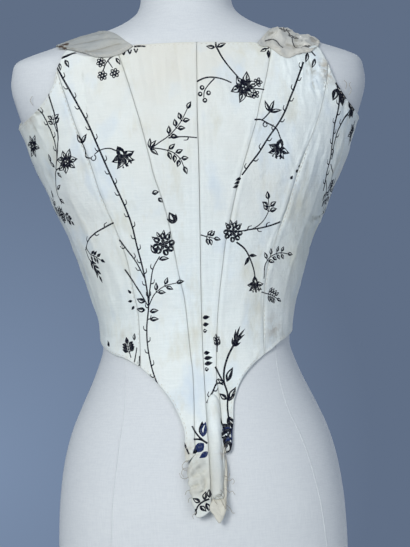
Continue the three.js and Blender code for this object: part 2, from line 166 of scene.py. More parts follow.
def section_point(height, turn):
    across, along = np.sin(turn), -np.cos(turn)
    behind = along < 0
    middle = FORM["middle"](height)
    rounding = np.where(behind, FORM["round_back"](height), FORM["round_front"](height))
    depth = np.where(behind, FORM["back"](height) + middle, FORM["front"](height) - middle)
    x = FORM["half_width"](height) * power(across, 2 / rounding)
    y = middle + depth * power(along, 2 / rounding)
    return np.stack(np.broadcast_arrays(x, y, height), axis=-1)


def fullness(points):
    x, y, z = points[..., 0], points[..., 1], points[..., 2]
    middle = FORM["middle"](z)
    behind = y < middle
    rounding = np.where(behind, FORM["round_back"](z), FORM["round_front"](z))
    depth = np.where(behind, FORM["back"](z) + middle, FORM["front"](z) - middle)
    return np.abs(x / FORM["half_width"](z)) ** rounding + np.abs((y - middle) / depth) ** rounding


def outwards(points):
    slopes = [fullness(points + step) - fullness(points - step) for step in SLOPE_STEP * np.eye(3)]
    slope = np.stack(slopes, axis=-1)
    return slope / np.linalg.norm(slope, axis=-1, keepdims=True)


print("Centre back at the waist:", section_point(np.array([328.0]), np.array([0.0]))[0])

# %% [markdown]
# A dressmaker draws the pattern flat. Here the flat paper is a chart: one direction is the distance
# round the body from the centre back, negative on the left, and the other is the height. To lay the
# chart on the form, the distance is turned into a turn of the section. One table is worked out
# once for all heights and distances, and then every point only looks its place up.

# %% From the flat chart to the body
WALL = 1.5  # the layered cloth
CLEARANCE = 1.6  # from the form to the cloth
SEAM_GAP = 0.12  # between two panels, once they are sewn
TURN_STEPS = 260
PAST_FRONT = 1.12  # the table runs a little past the centre front
CHART_STEP = 0.5
CHART_HEIGHTS = np.arange(130.0, 690.0, CHART_STEP)
CHART_OUTS = np.arange(0.0, 540.0, 1.0)
TAIL_STANDS_OFF, TAIL_LOW, TAIL_HIGH = 7, 150, 262  # how far the tail stands off, and between which heights


def worn_growth(height):
    return 1 + (CLEARANCE + WALL) / ((FORM["half_width"](height) + FORM["back"](height)) / 2)


def turn_table():
    turns = np.linspace(0, math.pi * PAST_FRONT, TURN_STEPS)
    grid = section_point(CHART_HEIGHTS[:, None], turns[None, :])
    steps = np.linalg.norm(np.diff(grid, axis=1), axis=2) * worn_growth(CHART_HEIGHTS)[:, None]
    lengths = np.concatenate([np.zeros((len(CHART_HEIGHTS), 1)), np.cumsum(steps, axis=1)], axis=1)
    table = np.array([np.interp(CHART_OUTS, row, turns) for row in lengths])
    half = np.array([np.interp(math.pi, turns, row) for row in lengths])
    return table, smooth_curve(CHART_HEIGHTS, half)


TURNS, half_girth = turn_table()


def turn_at(out, height):
    row = np.clip((height - CHART_HEIGHTS[0]) / CHART_STEP, 0, len(CHART_HEIGHTS) - 1.001)
    column = np.clip(np.abs(out), 0, len(CHART_OUTS) - 1.001)
    i, j = row.astype(int), column.astype(int)
    a, b = row - i, column - j
    low = mix(TURNS[i, j], TURNS[i, j + 1], b)
    high = mix(TURNS[i + 1, j], TURNS[i + 1, j + 1], b)
    return np.sign(out) * mix(low, high, a)


def stands_off(height):
    return TAIL_STANDS_OFF * (1 - ease(height, TAIL_LOW, TAIL_HIGH))


def laid_on(out, height, depth):
    surface = section_point(height, turn_at(out, height))
    return surface + outwards(surface) * (depth + stands_off(height))[..., None]


print("Half way round at the bust:", round(float(half_girth(517.5))), "mm")

# %% [markdown]
# The camera comes early, because everything is judged through it. It stands a little over two metres
# behind the form, level with its middle, a touch to one side, and slightly rolled, as the photograph
# was. The lens follows from how much of the height the picture takes in at that distance.

# %% Camera
CAMERA_DISTANCE = 2100
CAMERA_YAW, CAMERA_ROLL = math.radians(-5), math.radians(1.8)
CAMERA_AIM = Vector((12, 0, 410))
PICTURE_HEIGHT = 547 * 1.15  # millimetres at the form's middle
SENSOR = 36


def add_camera():
    bpy.ops.object.select_all(action="DESELECT")
    bpy.ops.object.camera_add()
    camera = bpy.context.object
    yaw_c, yaw_s = math.cos(CAMERA_YAW), math.sin(CAMERA_YAW)
    roll_c, roll_s = math.cos(CAMERA_ROLL), math.sin(CAMERA_ROLL)
    right = Vector((roll_c * yaw_c, roll_c * yaw_s, -roll_s))
    up = Vector((roll_s * yaw_c, roll_s * yaw_s, roll_c))
    ahead = Vector((-yaw_s, yaw_c, 0))
    place = (CAMERA_AIM - ahead * CAMERA_DISTANCE) * MM
    turned = Matrix((right, up, -ahead)).transposed().to_4x4()
    camera.matrix_world = Matrix.Translation(place) @ turned
    camera.data.sensor_fit = "VERTICAL"
    camera.data.sensor_height = SENSOR
    camera.data.lens = SENSOR * CAMERA_DISTANCE / PICTURE_HEIGHT
    bpy.context.scene.camera = camera
    return camera


camera = add_camera()
print("Lens", round(camera.data.lens, 1), "mm, camera at", [round(c, 3) for c in camera.location])

# %% [markdown]
# The scene is a plain studio: a pale round floor that the form stands on, a blue-grey paper wall and
# big soft lamps. The strongest lamp stands to the upper left of the camera, so that the right side
# falls off into shade and the creases show. The rest only lift the shadows, also at the front. The
# paper wall glows with its own colour, with a painted pool of light low on the left, so its colour
# blends between two tones.
# It hangs far off, so that it stands in nobody's way when the form is looked at from its front.

# %% Floor, surround and lamps
FLOOR_RADIUS = 0.55
SURROUND = (0.115, 0.156, 0.235)
PAPER_PAINTED_LIGHT = (0.200, 0.272, 0.404)
PAPER_SIZE, PAPER_PLACE = (6.4, 6.0), (1.06, 12.0, 0.41)
PAPER_GLOW, PAPER_GLOW_RADIUS = (-0.82, 12.0, -1.0), 3.15
LAMPS = [
    # name, place, aim, width, power, colour
    ("key", (-1.4, -2.5, 1.3), (0, 0, 0.40), 1.1, 61, (0.99, 0.995, 0.985)),
    ("fill", (1.7, -2.4, 0.5), (0, 0, 0.4), 1.8, 22, (0.97, 0.985, 1.0)),
    ("top", (0.1, -0.4, 2.4), (0, 0, 0.5), 1.4, 6, (0.97, 0.985, 1.0)),
    ("front", (0.6, 2.4, 1.2), (0, 0, 0.4), 1.8, 34, (0.98, 0.99, 1.0)),
]


def add_lamp(name, place, aim, width, watts, colour):
    bpy.ops.object.select_all(action="DESELECT")
    bpy.ops.object.light_add(type="AREA", location=place)
    lamp = bpy.context.object
    lamp.name = name
    lamp.rotation_euler = (Vector(aim) - Vector(place)).to_track_quat("-Z", "Y").to_euler()
    lamp.data.size = width
    lamp.data.energy = watts
    lamp.data.color = colour


def add_surround():
    world = bpy.data.worlds.new("surround")
    world.use_nodes = True
    world.node_tree.nodes["Background"].inputs["Color"].default_value = (*SURROUND, 1)
    bpy.context.scene.world = world


def add_floor():
    bpy.ops.object.select_all(action="DESELECT")
    bpy.ops.mesh.primitive_cylinder_add(vertices=96, radius=FLOOR_RADIUS, depth=0.02, location=(0, 0, -0.01))
    floor = bpy.context.object
    floor.name = "floor"
    bpy.ops.object.transform_apply(location=True)
    pale = bpy.data.materials.new("pale_floor")
    pale.use_nodes = True
    pale.node_tree.nodes["Principled BSDF"].inputs["Base Color"].default_value = (0.62, 0.64, 0.66, 1)
    pale.node_tree.nodes["Principled BSDF"].inputs["Roughness"].default_value = 0.8
    floor.data.materials.append(pale)


for lamp in LAMPS:
    add_lamp(*lamp)
add_surround()
add_floor()
bpy.context.scene.view_settings.view_transform = "Standard"
print(len(LAMPS), "lamps")

# %% [markdown]
# Finishes are made from nodes. Written out one by one, even a small sum takes many lines, so a value in
# a material is wrapped in a small class that knows Python's operators: adding two values adds a Math
# node. Everything else, such as noise or a ramp, comes from one method of the material's own class.

# %% Shader maths as expressions
class Value:
    """A socket inside a finish, with the operators of ordinary sums."""

    def __init__(self, finish, socket):
        self.finish, self.socket = finish, socket

    def __add__(self, other):
        return self.finish.maths("ADD", self, other)

    def __sub__(self, other):
        return self.finish.maths("SUBTRACT", self, other)

    def __mul__(self, other):
        return self.finish.maths("MULTIPLY", self, other)

    def __truediv__(self, other):
        return self.finish.maths("DIVIDE", self, other)


class Finish:
    """One material, its nodes and the sums between them."""

    def __init__(self, name, **constants):
        self.material = bpy.data.materials.new(name)
        self.material.use_nodes = True
        self.tree = self.material.node_tree
        self.shader = self.tree.nodes["Principled BSDF"]
        for socket, value in constants.items():
            self.shader.inputs[socket.replace("_", " ")].default_value = value

    def node(self, kind, settings=(), sockets=()):
        made = self.tree.nodes.new(kind)
        for name, value in dict(settings).items():
            if name == "stops":
                self.set_stops(made.color_ramp, value)
            else:
                setattr(made, name, value)
        for name, value in dict(sockets).items():
            self.feed(made.inputs[name], value)
        return made

    def set_stops(self, ramp, stops):
        while len(ramp.elements) < len(stops):
            ramp.elements.new(0.5)
        for element, (place, shade) in zip(ramp.elements, stops):
            element.position = place
            element.color = (shade, shade, shade, 1)

    def feed(self, socket, value):
        if isinstance(value, Value):
            self.tree.links.new(value.socket, socket)
        elif isinstance(value, tuple) and len(value) == 3 and socket.type == "RGBA":
            socket.default_value = (*value, 1)
        else:
            socket.default_value = value

    def maths(self, operation, *values):
        made = self.node("ShaderNodeMath", {"operation": operation}, enumerate(values))
        return Value(self, made.outputs[0])

    def clamp(self, value):
        return self.maths("MINIMUM", self.maths("MAXIMUM", value, 0.0), 1.0)

    def place(self):
        return Value(self, self.node("ShaderNodeTexCoord").outputs["Object"])

    def chart(self):
        return Value(self, self.node("ShaderNodeUVMap", {"uv_map": "chart"}).outputs[0])

    def noise(self, where, scale, detail=3.0, rough=0.5):
        sockets = {"Vector": where, "Scale": scale, "Detail": detail, "Roughness": rough}
        return Value(self, self.node("ShaderNodeTexNoise", (), sockets).outputs["Fac"])

    def stretched(self, where, by):
        made = self.node("ShaderNodeMapping", (), {"Vector": where, "Scale": by})
        return Value(self, made.outputs[0])

    def ramp(self, value, *stops):
        made = self.node("ShaderNodeValToRGB", {"stops": stops}, {"Fac": value})
        return Value(self, made.outputs["Color"])

    def blend(self, share, a, b, how="MIX"):
        settings = {"data_type": "RGBA", "blend_type": how}
        made = self.node("ShaderNodeMix", settings, {0: share, 6: a, 7: b})
        return Value(self, made.outputs[2])

    def spot(self, where, centre, radius, softness=0.6):
        away = self.node("ShaderNodeVectorMath", {"operation": "DISTANCE"}, {0: where, 1: centre})
        far = Value(self, away.outputs["Value"]) / radius
        return self.ramp(far, (0.0, 1.0), (1.0 - softness, 1.0), (1.0, 0.0))

    def bump(self, height, distance, strength=1.0):
        sockets = {"Height": height, "Distance": distance, "Strength": strength}
        made = self.node("ShaderNodeBump", (), sockets)
        self.feed(self.shader.inputs["Normal"], Value(self, made.outputs[0]))


def mm_place(x, y, z):
    return (x * MM, y * MM, z * MM)


print("Finishes are written as sums")

# %% The paper wall
def add_paper_wall():
    bpy.ops.object.select_all(action="DESELECT")
    bpy.ops.mesh.primitive_plane_add(size=1, location=PAPER_PLACE, rotation=(math.pi / 2, 0, 0))
    wall = bpy.context.object
    wall.name = "paper_wall"
    wall.scale = (*PAPER_SIZE, 1)
    bpy.ops.object.transform_apply(location=True, rotation=True, scale=True)
    paper = Finish("wall_paper", Base_Color=(0, 0, 0, 1), Roughness=1.0, Emission_Strength=1.0)
    # painted pool of light: the wall's glow is lighter low on the left
    painted_light = paper.spot(paper.place(), PAPER_GLOW, PAPER_GLOW_RADIUS, 1.0)
    paper.feed(paper.shader.inputs["Emission Color"], paper.blend(painted_light, SURROUND, PAPER_PAINTED_LIGHT))
    wall.data.materials.append(paper.material)


add_paper_wall()
print("Paper wall", PAPER_SIZE, "metres")

# %% [markdown]
# The form is covered in fine white jersey, stretched smooth. Close by, jersey is rows of tiny loops,
# about one a millimetre. They are a bump that reads the object's own coordinates. The colour is a cool
# white with the faintest clouding.

# %% Jersey of the form
JERSEY = (0.715, 0.735, 0.728)
JERSEY_SHADE = (0.655, 0.680, 0.684)
JERSEY_GRID = (0.560, 0.585, 0.600)


def jersey_finish():
    finish = Finish("form_jersey", Roughness=0.9, Specular_IOR_Level=0.3)
    place = finish.place()
    cloud = finish.noise(place, 9.0, 2.0)
    colour = finish.blend(cloud, JERSEY, JERSEY_SHADE)
    courses = finish.noise(finish.stretched(place, (90.0, 90.0, 760.0)), 1.0, 2.0)
    wales = finish.noise(finish.stretched(place, (760.0, 760.0, 90.0)), 1.0, 2.0)
    grid = finish.ramp(courses * 0.5 + wales * 0.5, (0.38, 0.34), (0.60, 0.0))
    finish.feed(finish.shader.inputs["Base Color"], finish.blend(grid, colour, JERSEY_GRID))
    waves = finish.node("ShaderNodeTexWave", {"wave_type": "BANDS", "bands_direction": "Z"},
                        {"Vector": place, "Scale": 180.0, "Distortion": 1.5, "Detail": 1.0})
    loops = Value(finish, waves.outputs["Fac"]) * 0.5 + finish.noise(place, 900.0, 1.0) * 0.5
    finish.bump(loops, 0.0001, 0.6)
    return finish.material


jersey = jersey_finish()
print("Made", jersey.name)

# %% [markdown]
# The bodice is of plain-weave linen. Threads cross about every half millimetre, and here and there a
# thicker slub stands up. The pattern has to follow the cloth over its curves, so the weave reads the
# chart, which each piece of cloth carries as its UV map in metres. The same linen comes in three
# tones: printed, unbleached, and thread. Each piece also carries an attribute called ink. Its red says
# where ink lies, its green where that ink is blue, and its blue how much darker the colour is along an
# edge and how much painted shade sits in a fold.

# %% Linen: weave, slubs, ageing and painted shade
WEAVE_PITCH = 0.55
THREADS = 2 * math.pi / (WEAVE_PITCH * MM)


def weave_height(finish):
    parts = finish.node("ShaderNodeSeparateXYZ", (), {0: finish.chart()})
    across, along = Value(finish, parts.outputs[0]), Value(finish, parts.outputs[1])
    crossing = finish.maths("SINE", across * THREADS) * finish.maths("SINE", along * THREADS)
    slub_across = finish.noise(finish.stretched(finish.chart(), (40.0, 1500.0, 1.0)), 1.0, 1.0)
    slub_along = finish.noise(finish.stretched(finish.chart(), (1500.0, 40.0, 1.0)), 1.0, 1.0)
    return crossing * 0.35 + slub_across + slub_along


def crumple(finish, rise):
    """Sharp little folds in millimetres: soft noise, folded over along its middle."""
    bent = finish.noise(finish.stretched(finish.place(), (1.0, 1.0, 0.6)), 42.0, 4.0, 0.55)
    sharp = finish.maths("ABSOLUTE", bent - 0.5)
    fine = finish.maths("ABSOLUTE", finish.noise(finish.place(), 130.0, 3.0, 0.6) - 0.5)
    return sharp * (4.0 * rise) + fine * (1.2 * rise)


def ink_parts(finish):
    made = finish.node("ShaderNodeAttribute", {"attribute_name": "ink"})
    parts = finish.node("ShaderNodeSeparateColor", (), {0: Value(finish, made.outputs["Color"])})
    return [Value(finish, parts.outputs[i]) for i in range(3)]


LINEN_WHITE = (0.853, 0.903, 0.872)
LINEN_DULL = (0.748, 0.806, 0.782)
LINEN_CREAM = (0.745, 0.735, 0.655)
LINEN_SIDE_SHADE = (0.600, 0.635, 0.560)
LINEN_BLUE = (0.600, 0.700, 0.790)
LINEN_YELLOW = (0.600, 0.560, 0.400)
LINEN_TAIL_BEIGE = (0.560, 0.545, 0.465)
LINEN_EDGE_TINT_AND_FOLD_SHADE = (0.380, 0.380, 0.320)
INK = (0.004, 0.005, 0.013)
INK_BLUE = (0.012, 0.024, 0.090)
LINEN_WORN = (0.470, 0.420, 0.330)
WORN_PLACES = [
    # place, radius
    ((-189, -42, 597), 26), ((-160, -66, 636), 16), ((172, -58, 612), 24), ((150, -72, 634), 22),
    ((-92, -62, 338), 20), ((-20, -118, 212), 20), ((18, -118, 214), 16), ((90, -60, 345), 22),
    ((156, -64, 632), 20), ((-14, -122, 176), 15), ((-18, -122, 196), 12),
]

# Painted shade on the sides of the bodice, where they turn away from the light
SIDE_SHADE_PLACES = [
    # place, radius, how strong
    ((150, -30, 440), 95, 0.45), ((-128, -40, 385), 80, 0.35), ((-180, -40, 560), 60, 0.3),
]


def printed_linen_finish():
    finish = Finish("printed_linen", Roughness=0.92, Specular_IOR_Level=0.12)
    place = finish.place()
    ink, blue, edge_tint_and_fold_shade = ink_parts(finish)
    clouds = finish.noise(place, 7.0, 4.0, 0.6)
    yarns = finish.noise(finish.stretched(finish.chart(), (45.0, 620.0, 1.0)), 1.0, 3.0, 0.7)
    ends = finish.noise(finish.stretched(finish.chart(), (620.0, 45.0, 1.0)), 1.0, 3.0, 0.7)
    specks = finish.noise(place, 480.0, 3.0, 0.7)
    tone = finish.ramp(yarns * 0.5 + ends * 0.25 + specks * 0.25, (0.36, 0.0), (0.62, 1.0))
    high = finish.spot(place, mm_place(-25, -95, 640), 0.14, 0.8)
    cream = finish.clamp(finish.ramp(clouds, (0.40, 0.0), (0.70, 0.6)) + high * 0.62)
    colour = finish.blend(tone, LINEN_DULL, LINEN_WHITE)
    colour = finish.blend(cream, colour, LINEN_CREAM)
    washed = finish.noise(finish.stretched(place, (1.0, 1.0, 0.55)), 26.0, 3.0)
    colour = finish.blend(finish.ramp(washed, (0.54, 0.0), (0.73, 0.6)), colour, LINEN_BLUE)
    aged = finish.noise(finish.stretched(place, (1.0, 1.0, 0.35)), 34.0, 4.0, 0.65)
    colour = finish.blend(finish.ramp(aged, (0.54, 0.0), (0.76, 0.5)), colour, LINEN_YELLOW)
    # painted shade in the deep folds, and a darker tint along every edge
    colour = finish.blend(edge_tint_and_fold_shade * 0.8, colour, LINEN_EDGE_TINT_AND_FOLD_SHADE)
    # painted shade on the sides of the bodice
    for centre, radius, strength in SIDE_SHADE_PLACES:
        side_shade = finish.spot(place, mm_place(*centre), radius * MM, 0.9)
        colour = finish.blend(side_shade * (clouds * 0.6 + 0.7) * strength, colour, LINEN_SIDE_SHADE)
    grimy = finish.ramp(finish.noise(place, 95.0, 4.0, 0.65), (0.42, 0.0), (0.62, 0.9))
    for centre, radius in WORN_PLACES:
        worn = finish.spot(place, mm_place(*centre), radius * MM, 0.9)
        colour = finish.blend(worn * grimy, colour, LINEN_WORN)
    # the colour is darker and beiger over the tail
    tail = finish.spot(place, mm_place(-8, -125, 185), 0.062, 0.9)
    colour = finish.blend(tail * (clouds * 0.9 + 0.42), colour, LINEN_TAIL_BEIGE)
    patchy = finish.ramp(finish.noise(place, 420.0, 3.0, 0.6), (0.28, 0.86), (0.5, 1.0))
    colour = finish.blend(ink * patchy, colour, finish.blend(blue, INK, INK_BLUE))
    finish.feed(finish.shader.inputs["Base Color"], colour)
    finish.bump(weave_height(finish) * 0.09 + crumple(finish, 0.55), MM, 0.8)
    return finish.material


printed_linen = printed_linen_finish()
print("Made", printed_linen.name)

# %% [markdown]
# The straps and the lining are the same linen, unbleached and hardly printed, so they are greyer and more
# beige. Painted shade sits in their folds, their edges are tinted darker, and the right strap carries a
# painted patch of light. Near the left strap's arm side there are dark marks, where pins were
# stuck, and the right strap has one that has faded.
# A thicker thread here and there shows as a darker line, which is the slub again, this time in the
# colour.

# %% Unbleached linen
LINEN_GREY = (0.525, 0.540, 0.515)
LINEN_BEIGE = (0.620, 0.595, 0.510)
RUST = (0.085, 0.055, 0.040)
PIN_MARKS = [
    # across and along the left strap, radius
    ((74, 25), 8), ((67, 31), 8), ((72, 17), 5),
]
FADED_MARK = ((140, -40, 672), 10)  # on the right strap


def plain_linen_finish():
    finish = Finish("plain_linen", Roughness=0.93, Specular_IOR_Level=0.12)
    place = finish.place()
    ink, blue, edge_tint_and_fold_shade = ink_parts(finish)
    clouds = finish.ramp(finish.noise(place, 30.0, 4.0, 0.6), (0.35, 0.0), (0.68, 1.0))
    colour = finish.blend(clouds, LINEN_GREY, LINEN_BEIGE)
    slubs = finish.noise(finish.stretched(finish.chart(), (60.0, 900.0, 1.0)), 1.0, 2.0)
    colour = finish.blend(finish.ramp(slubs, (0.55, 0.0), (0.8, 0.5)), colour, (0.33, 0.31, 0.26))
    low = finish.spot(place, mm_place(8, -125, 150), 0.09, 0.4)
    colour = finish.blend(low * 0.85, colour, (0.690, 0.665, 0.565))
    blot = finish.noise(place, 260.0, 3.0, 0.7)
    grey = finish.spot(place, mm_place(-112, -40, 676), 0.075, 0.5)
    colour = finish.blend(grey * 0.5, colour, (0.330, 0.345, 0.330))
    # painted light: the right strap is made lighter where the lamps' light falls off
    light = finish.spot(place, mm_place(122, -45, 672), 0.06, 0.5)
    colour = finish.blend(light * 0.5, colour, (0.760, 0.735, 0.650))
    faded = finish.spot(place, mm_place(*FADED_MARK[0]), FADED_MARK[1] * MM, 0.9)
    colour = finish.blend(finish.ramp(faded * (blot + 0.25), (0.30, 0.0), (0.52, 0.4)), colour, RUST)
    left = finish.spot(place, mm_place(-145, -20, 668), 0.06, 0.2)
    for centre, radius in PIN_MARKS:
        mark = finish.spot(finish.chart(), mm_place(*centre, 0), radius * MM, 0.9) * left
        colour = finish.blend(finish.ramp(mark * (blot + 0.3), (0.28, 0.0), (0.50, 1.0)), colour, RUST)
    # painted shade in the deep folds, and a darker tint along every edge
    colour = finish.blend(edge_tint_and_fold_shade * 0.7, colour, (0.30, 0.27, 0.20))
    colour = finish.blend(ink * 0.85, colour, finish.blend(blue, INK, INK_BLUE))
    finish.feed(finish.shader.inputs["Base Color"], colour)
    finish.bump(weave_height(finish) * 0.12 + crumple(finish, 0.8), MM, 0.8)
    return finish.material


def thread_finish(name, light, dark):
    finish = Finish(name, Roughness=0.8, Specular_IOR_Level=0.2)
    tone = finish.noise(finish.place(), 300.0, 2.0)
    finish.feed(finish.shader.inputs["Base Color"], finish.blend(tone, light, dark))
    twist = finish.noise(finish.place(), 2500.0, 1.0)
    finish.bump(twist, 0.00005, 0.6)
    return finish.material


plain_linen = plain_linen_finish()
linen_thread = thread_finish("linen_thread", (0.70, 0.67, 0.59), (0.52, 0.48, 0.39))
worn_thread = thread_finish("worn_thread", (0.44, 0.39, 0.29), (0.20, 0.17, 0.12))
print("Made", plain_linen.name, linen_thread.name, "and", worn_thread.name)

# %% [markdown]
# The dress form is a hollow body in real life, turned and padded. Here it starts as a drum. It is cut
# into rings with bisect, one for each height that matters, and each ring is then drawn in to its
# section. The cuts are closer together where the shoulders round over. Both ends get an inset rim, the
# arms are flattened to plates, and one subdivision rounds what the rings left angular.

# %% The dress form
FORM_SIDES = 96
RING_STEP = 14
SHOULDER_RINGS = [549, 562, 590, 604, 621, 635, 646, 650, 656, 664, 672, 680, 688, 696, 704, 713]
RIM = 0.003


def ring_heights():
    heights = {row[0] for row in FORM_SECTIONS[1:-1]} | set(SHOULDER_RINGS)
    heights |= set(range(RING_STEP, ARM_PLATE_BOTTOM, RING_STEP))
    spaced = []
    for height in sorted(heights):
        if not spaced or height - spaced[-1] > 3:
            spaced.append(height)
    return spaced


def drum(sides, top):
    bpy.ops.object.select_all(action="DESELECT")
    bpy.ops.mesh.primitive_cylinder_add(vertices=sides, radius=0.2, depth=top * MM,
                                        location=(0, 0, top * MM / 2), end_fill_type="NGON")
    bpy.ops.object.transform_apply(location=True)
    return bpy.context.object


def cut_rings(heights):
    bpy.ops.object.mode_set(mode="EDIT")
    for height in heights:
        bpy.ops.mesh.select_all(action="SELECT")
        bpy.ops.mesh.bisect(plane_co=(0, 0, height * MM), plane_no=(0, 0, 1))
    bpy.ops.object.mode_set(mode="OBJECT")


def select_faces(piece, wanted):
    bpy.ops.object.mode_set(mode="EDIT")
    bpy.ops.mesh.select_mode(type="FACE")
    bpy.ops.mesh.select_all(action="DESELECT")
    bpy.ops.object.mode_set(mode="OBJECT")
    for face in piece.data.polygons:
        face.select = wanted(face)
    bpy.ops.object.mode_set(mode="EDIT")


def draw_in(piece):
    for vertex in piece.data.vertices:
        height = vertex.co.z / MM
        turn = math.atan2(vertex.co.x, -vertex.co.y)
        x, y, z = section_point(np.array([height]), np.array([turn]))[0]
        if ARM_PLATE_BOTTOM < height <= ARM_PLATE_TOP + 0.5:
            plate = float(ARM_PLATE["out"](height))
            x = min(max(x, -plate), plate)
        vertex.co = (x * MM, y * MM, z * MM)


def make_form():
    form = drum(FORM_SIDES, FORM_TOP)
    form.name = "dress_form"
    cut_rings(ring_heights())
    draw_in(form)
    select_faces(form, lambda face: abs(face.normal.z) > 0.99 and len(face.vertices) > 4)
    bpy.ops.mesh.inset(thickness=RIM)
    bpy.ops.object.mode_set(mode="OBJECT")
    rounder = form.modifiers.new("rounder", "SUBSURF")
    rounder.levels = rounder.render_levels = 1
    bpy.ops.object.modifier_apply(modifier="rounder")
    bpy.ops.object.shade_smooth_by_angle(angle=math.radians(40))
    form.data.materials.append(jersey)
    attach(form, "root")
    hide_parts("torso_form")
    return form


dress_form = make_form()
print("Dress form:", len(dress_form.data.polygons), "faces")

# %% [markdown]
# The print is a field of thin thorny stems with leaves, buds and flowers, stamped in blue-black. A motif
# is a few flat shapes on the chart: a ribbon for a stem, a pointed blade for a leaf, and a bare sliver
# laid on the blade where the paper-white cloth shows through. Shapes laid later win over earlier
# ones, as in cut paper. A motif is drawn by its own function from a place, a heading and a size, so the
# layout below stays a short list.

# %% Flat shapes of ink
BARE, DARK, BLUE = 0, 1, 2


class Drawing:
    """Flat shapes on a chart, each with its tone."""

    def __init__(self):
        self.points, self.faces, self.tones = [], [], []

    def add(self, outline, tone):
        start = len(self.points)
        self.points.extend(outline)
        self.faces.append(list(range(start, start + len(outline))))
        self.tones.append(tone)

    def ribbon(self, path, width, end_width=None, tone=DARK):
        path = np.asarray(path, float)
        heading = np.gradient(path, axis=0)
        heading /= np.maximum(np.linalg.norm(heading, axis=1, keepdims=True), 1e-9)
        sideways = np.stack([-heading[:, 1], heading[:, 0]], axis=1)
        widths = np.linspace(width, width if end_width is None else end_width, len(path))[:, None] / 2
        left, right = path + sideways * widths, path - sideways * widths
        start = len(self.points)
        self.points.extend(np.concatenate([left, right]))
        count = len(path)
        for i in range(start, start + count - 1):
            self.faces.append([i + count, i + count + 1, i + 1, i])
            self.tones.append(tone)


def aim(heading):
    """One step in a direction: 0 is to the right, 90 is up."""
    return np.array([math.cos(math.radians(heading)), math.sin(math.radians(heading))])


def soft_path(points, step=1.6):
    """A soft line through a few points."""
    points = np.asarray(points, float)
    lengths = np.concatenate([[0], np.cumsum(np.linalg.norm(np.diff(points, axis=0), axis=1))])
    where = np.linspace(0, lengths[-1], max(3, int(lengths[-1] / step) + 1))
    slopes = np.gradient(points, lengths, axis=0)
    i = np.clip(np.searchsorted(lengths, where, side="right") - 1, 0, len(points) - 2)
    span = (lengths[i + 1] - lengths[i])[:, None]
    t = ((where - lengths[i])[:, None]) / span
    start = (1 + 2 * t) * (1 - t) ** 2 * points[i] + t * (1 - t) ** 2 * span * slopes[i]
    end = t * t * (3 - 2 * t) * points[i + 1] + t * t * (t - 1) * span * slopes[i + 1]
    return start + end


def oval(centre, radius, squash=1.0, heading=0.0, sides=10):
    turns = np.linspace(0, 2 * math.pi, sides, endpoint=False)
    along, across = aim(heading), aim(heading + 90)
    rim = [math.cos(t) * along + squash * math.sin(t) * across for t in turns]
    return [np.asarray(centre) + radius * point for point in rim]


print("Shapes: ribbon, oval and outline")

# %% Leaves, stems and flowers
LINE_GROWTH, LEAF_GROWTH = 1.45, 1.2  # ink spreads in the cloth
LEAF_SHARES = np.array([0, 0.14, 0.32, 0.52, 0.72, 0.88, 1])
LEAF_WIDTHS = np.array([0.06, 0.62, 1.0, 0.95, 0.62, 0.28, 0.0])


def blade(base, heading, length, width, bend=0.0, near=0.0, far=1.0, sides=(-1, 1)):
    """Outline of a leaf from its stalk to its tip, or of a sliver of it."""
    along, across = aim(heading), aim(heading + 90)
    shares = near + (far - near) * LEAF_SHARES
    spine = [np.asarray(base) + along * length * s + across * bend * length * s * (1 - s) for s in shares]
    first = [p + across * sides[1] * w * width / 2 for p, w in zip(spine, LEAF_WIDTHS)]
    second = [p + across * sides[0] * w * width / 2 for p, w in zip(spine, LEAF_WIDTHS)]
    return second[:-1] + first[::-1]


def leaf(drawing, base, heading, length=9.0, width=4.2, bend=0.12, heart=True, tone=DARK):
    length, width = length * LEAF_GROWTH, width * LEAF_GROWTH
    drawing.add(blade(base, heading, length, width, bend), tone)
    if heart:
        drawing.add(blade(base, heading, length, width * 0.56, bend, 0.26, 0.78, (0.05, 0.85)), BARE)


def thorns(drawing, path, every=15.0, length=6.6, lean=36):
    """Curved thorns that point up a stem, first on one side and then on the other."""
    if path[0][1] > path[-1][1]:
        path = path[::-1]
    steps = np.linalg.norm(np.diff(path, axis=0), axis=1)
    travelled = np.concatenate([[0], np.cumsum(steps)])
    side = 1
    for where in np.arange(every * 0.6, travelled[-1] - length, every):
        i = min(int(np.searchsorted(travelled, where)), len(path) - 2)
        ahead = path[i + 1] - path[i]
        heading = math.degrees(math.atan2(ahead[1], ahead[0]))
        root = path[i]
        tip = root + aim(heading + side * lean) * length
        middle = root + aim(heading + side * (lean + 34)) * length * 0.5
        drawing.ribbon(soft_path([root, middle, tip], 1.2), 1.6, 0.7)
        side = -side


def stem(drawing, points, width=1.2, thorny=False, **more):
    path = soft_path(points)
    drawing.ribbon(path, width * LINE_GROWTH, width * LINE_GROWTH * 0.75)
    if thorny:
        thorns(drawing, path, **more)
    return path


def spray(drawing, points, pairs, length=8.0, width=3.8, spread=52, heart=True, tip=True, start=0.42):
    """A thin stem with leaves on both sides of its outer part."""
    path = stem(drawing, points, 0.9)
    for k in range(pairs):
        i = int(len(path) * (start + (0.92 - start) * k / max(pairs, 1)))
        ahead = path[min(i + 1, len(path) - 1)] - path[i - 1]
        heading = math.degrees(math.atan2(ahead[1], ahead[0]))
        for side in (-1, 1):
            root = path[i] + aim(heading + side * spread) * 1.6
            drawing.ribbon([path[i], root], 1.0)
            lean, reach = side * (spread - 6), length * (1 - 0.06 * k)
            leaf(drawing, root, heading + lean, reach, width, -side * 0.12, heart)
    if tip:
        ahead = path[-1] - path[-2]
        leaf(drawing, path[-1], math.degrees(math.atan2(ahead[1], ahead[0])), length, width, 0.1, heart)


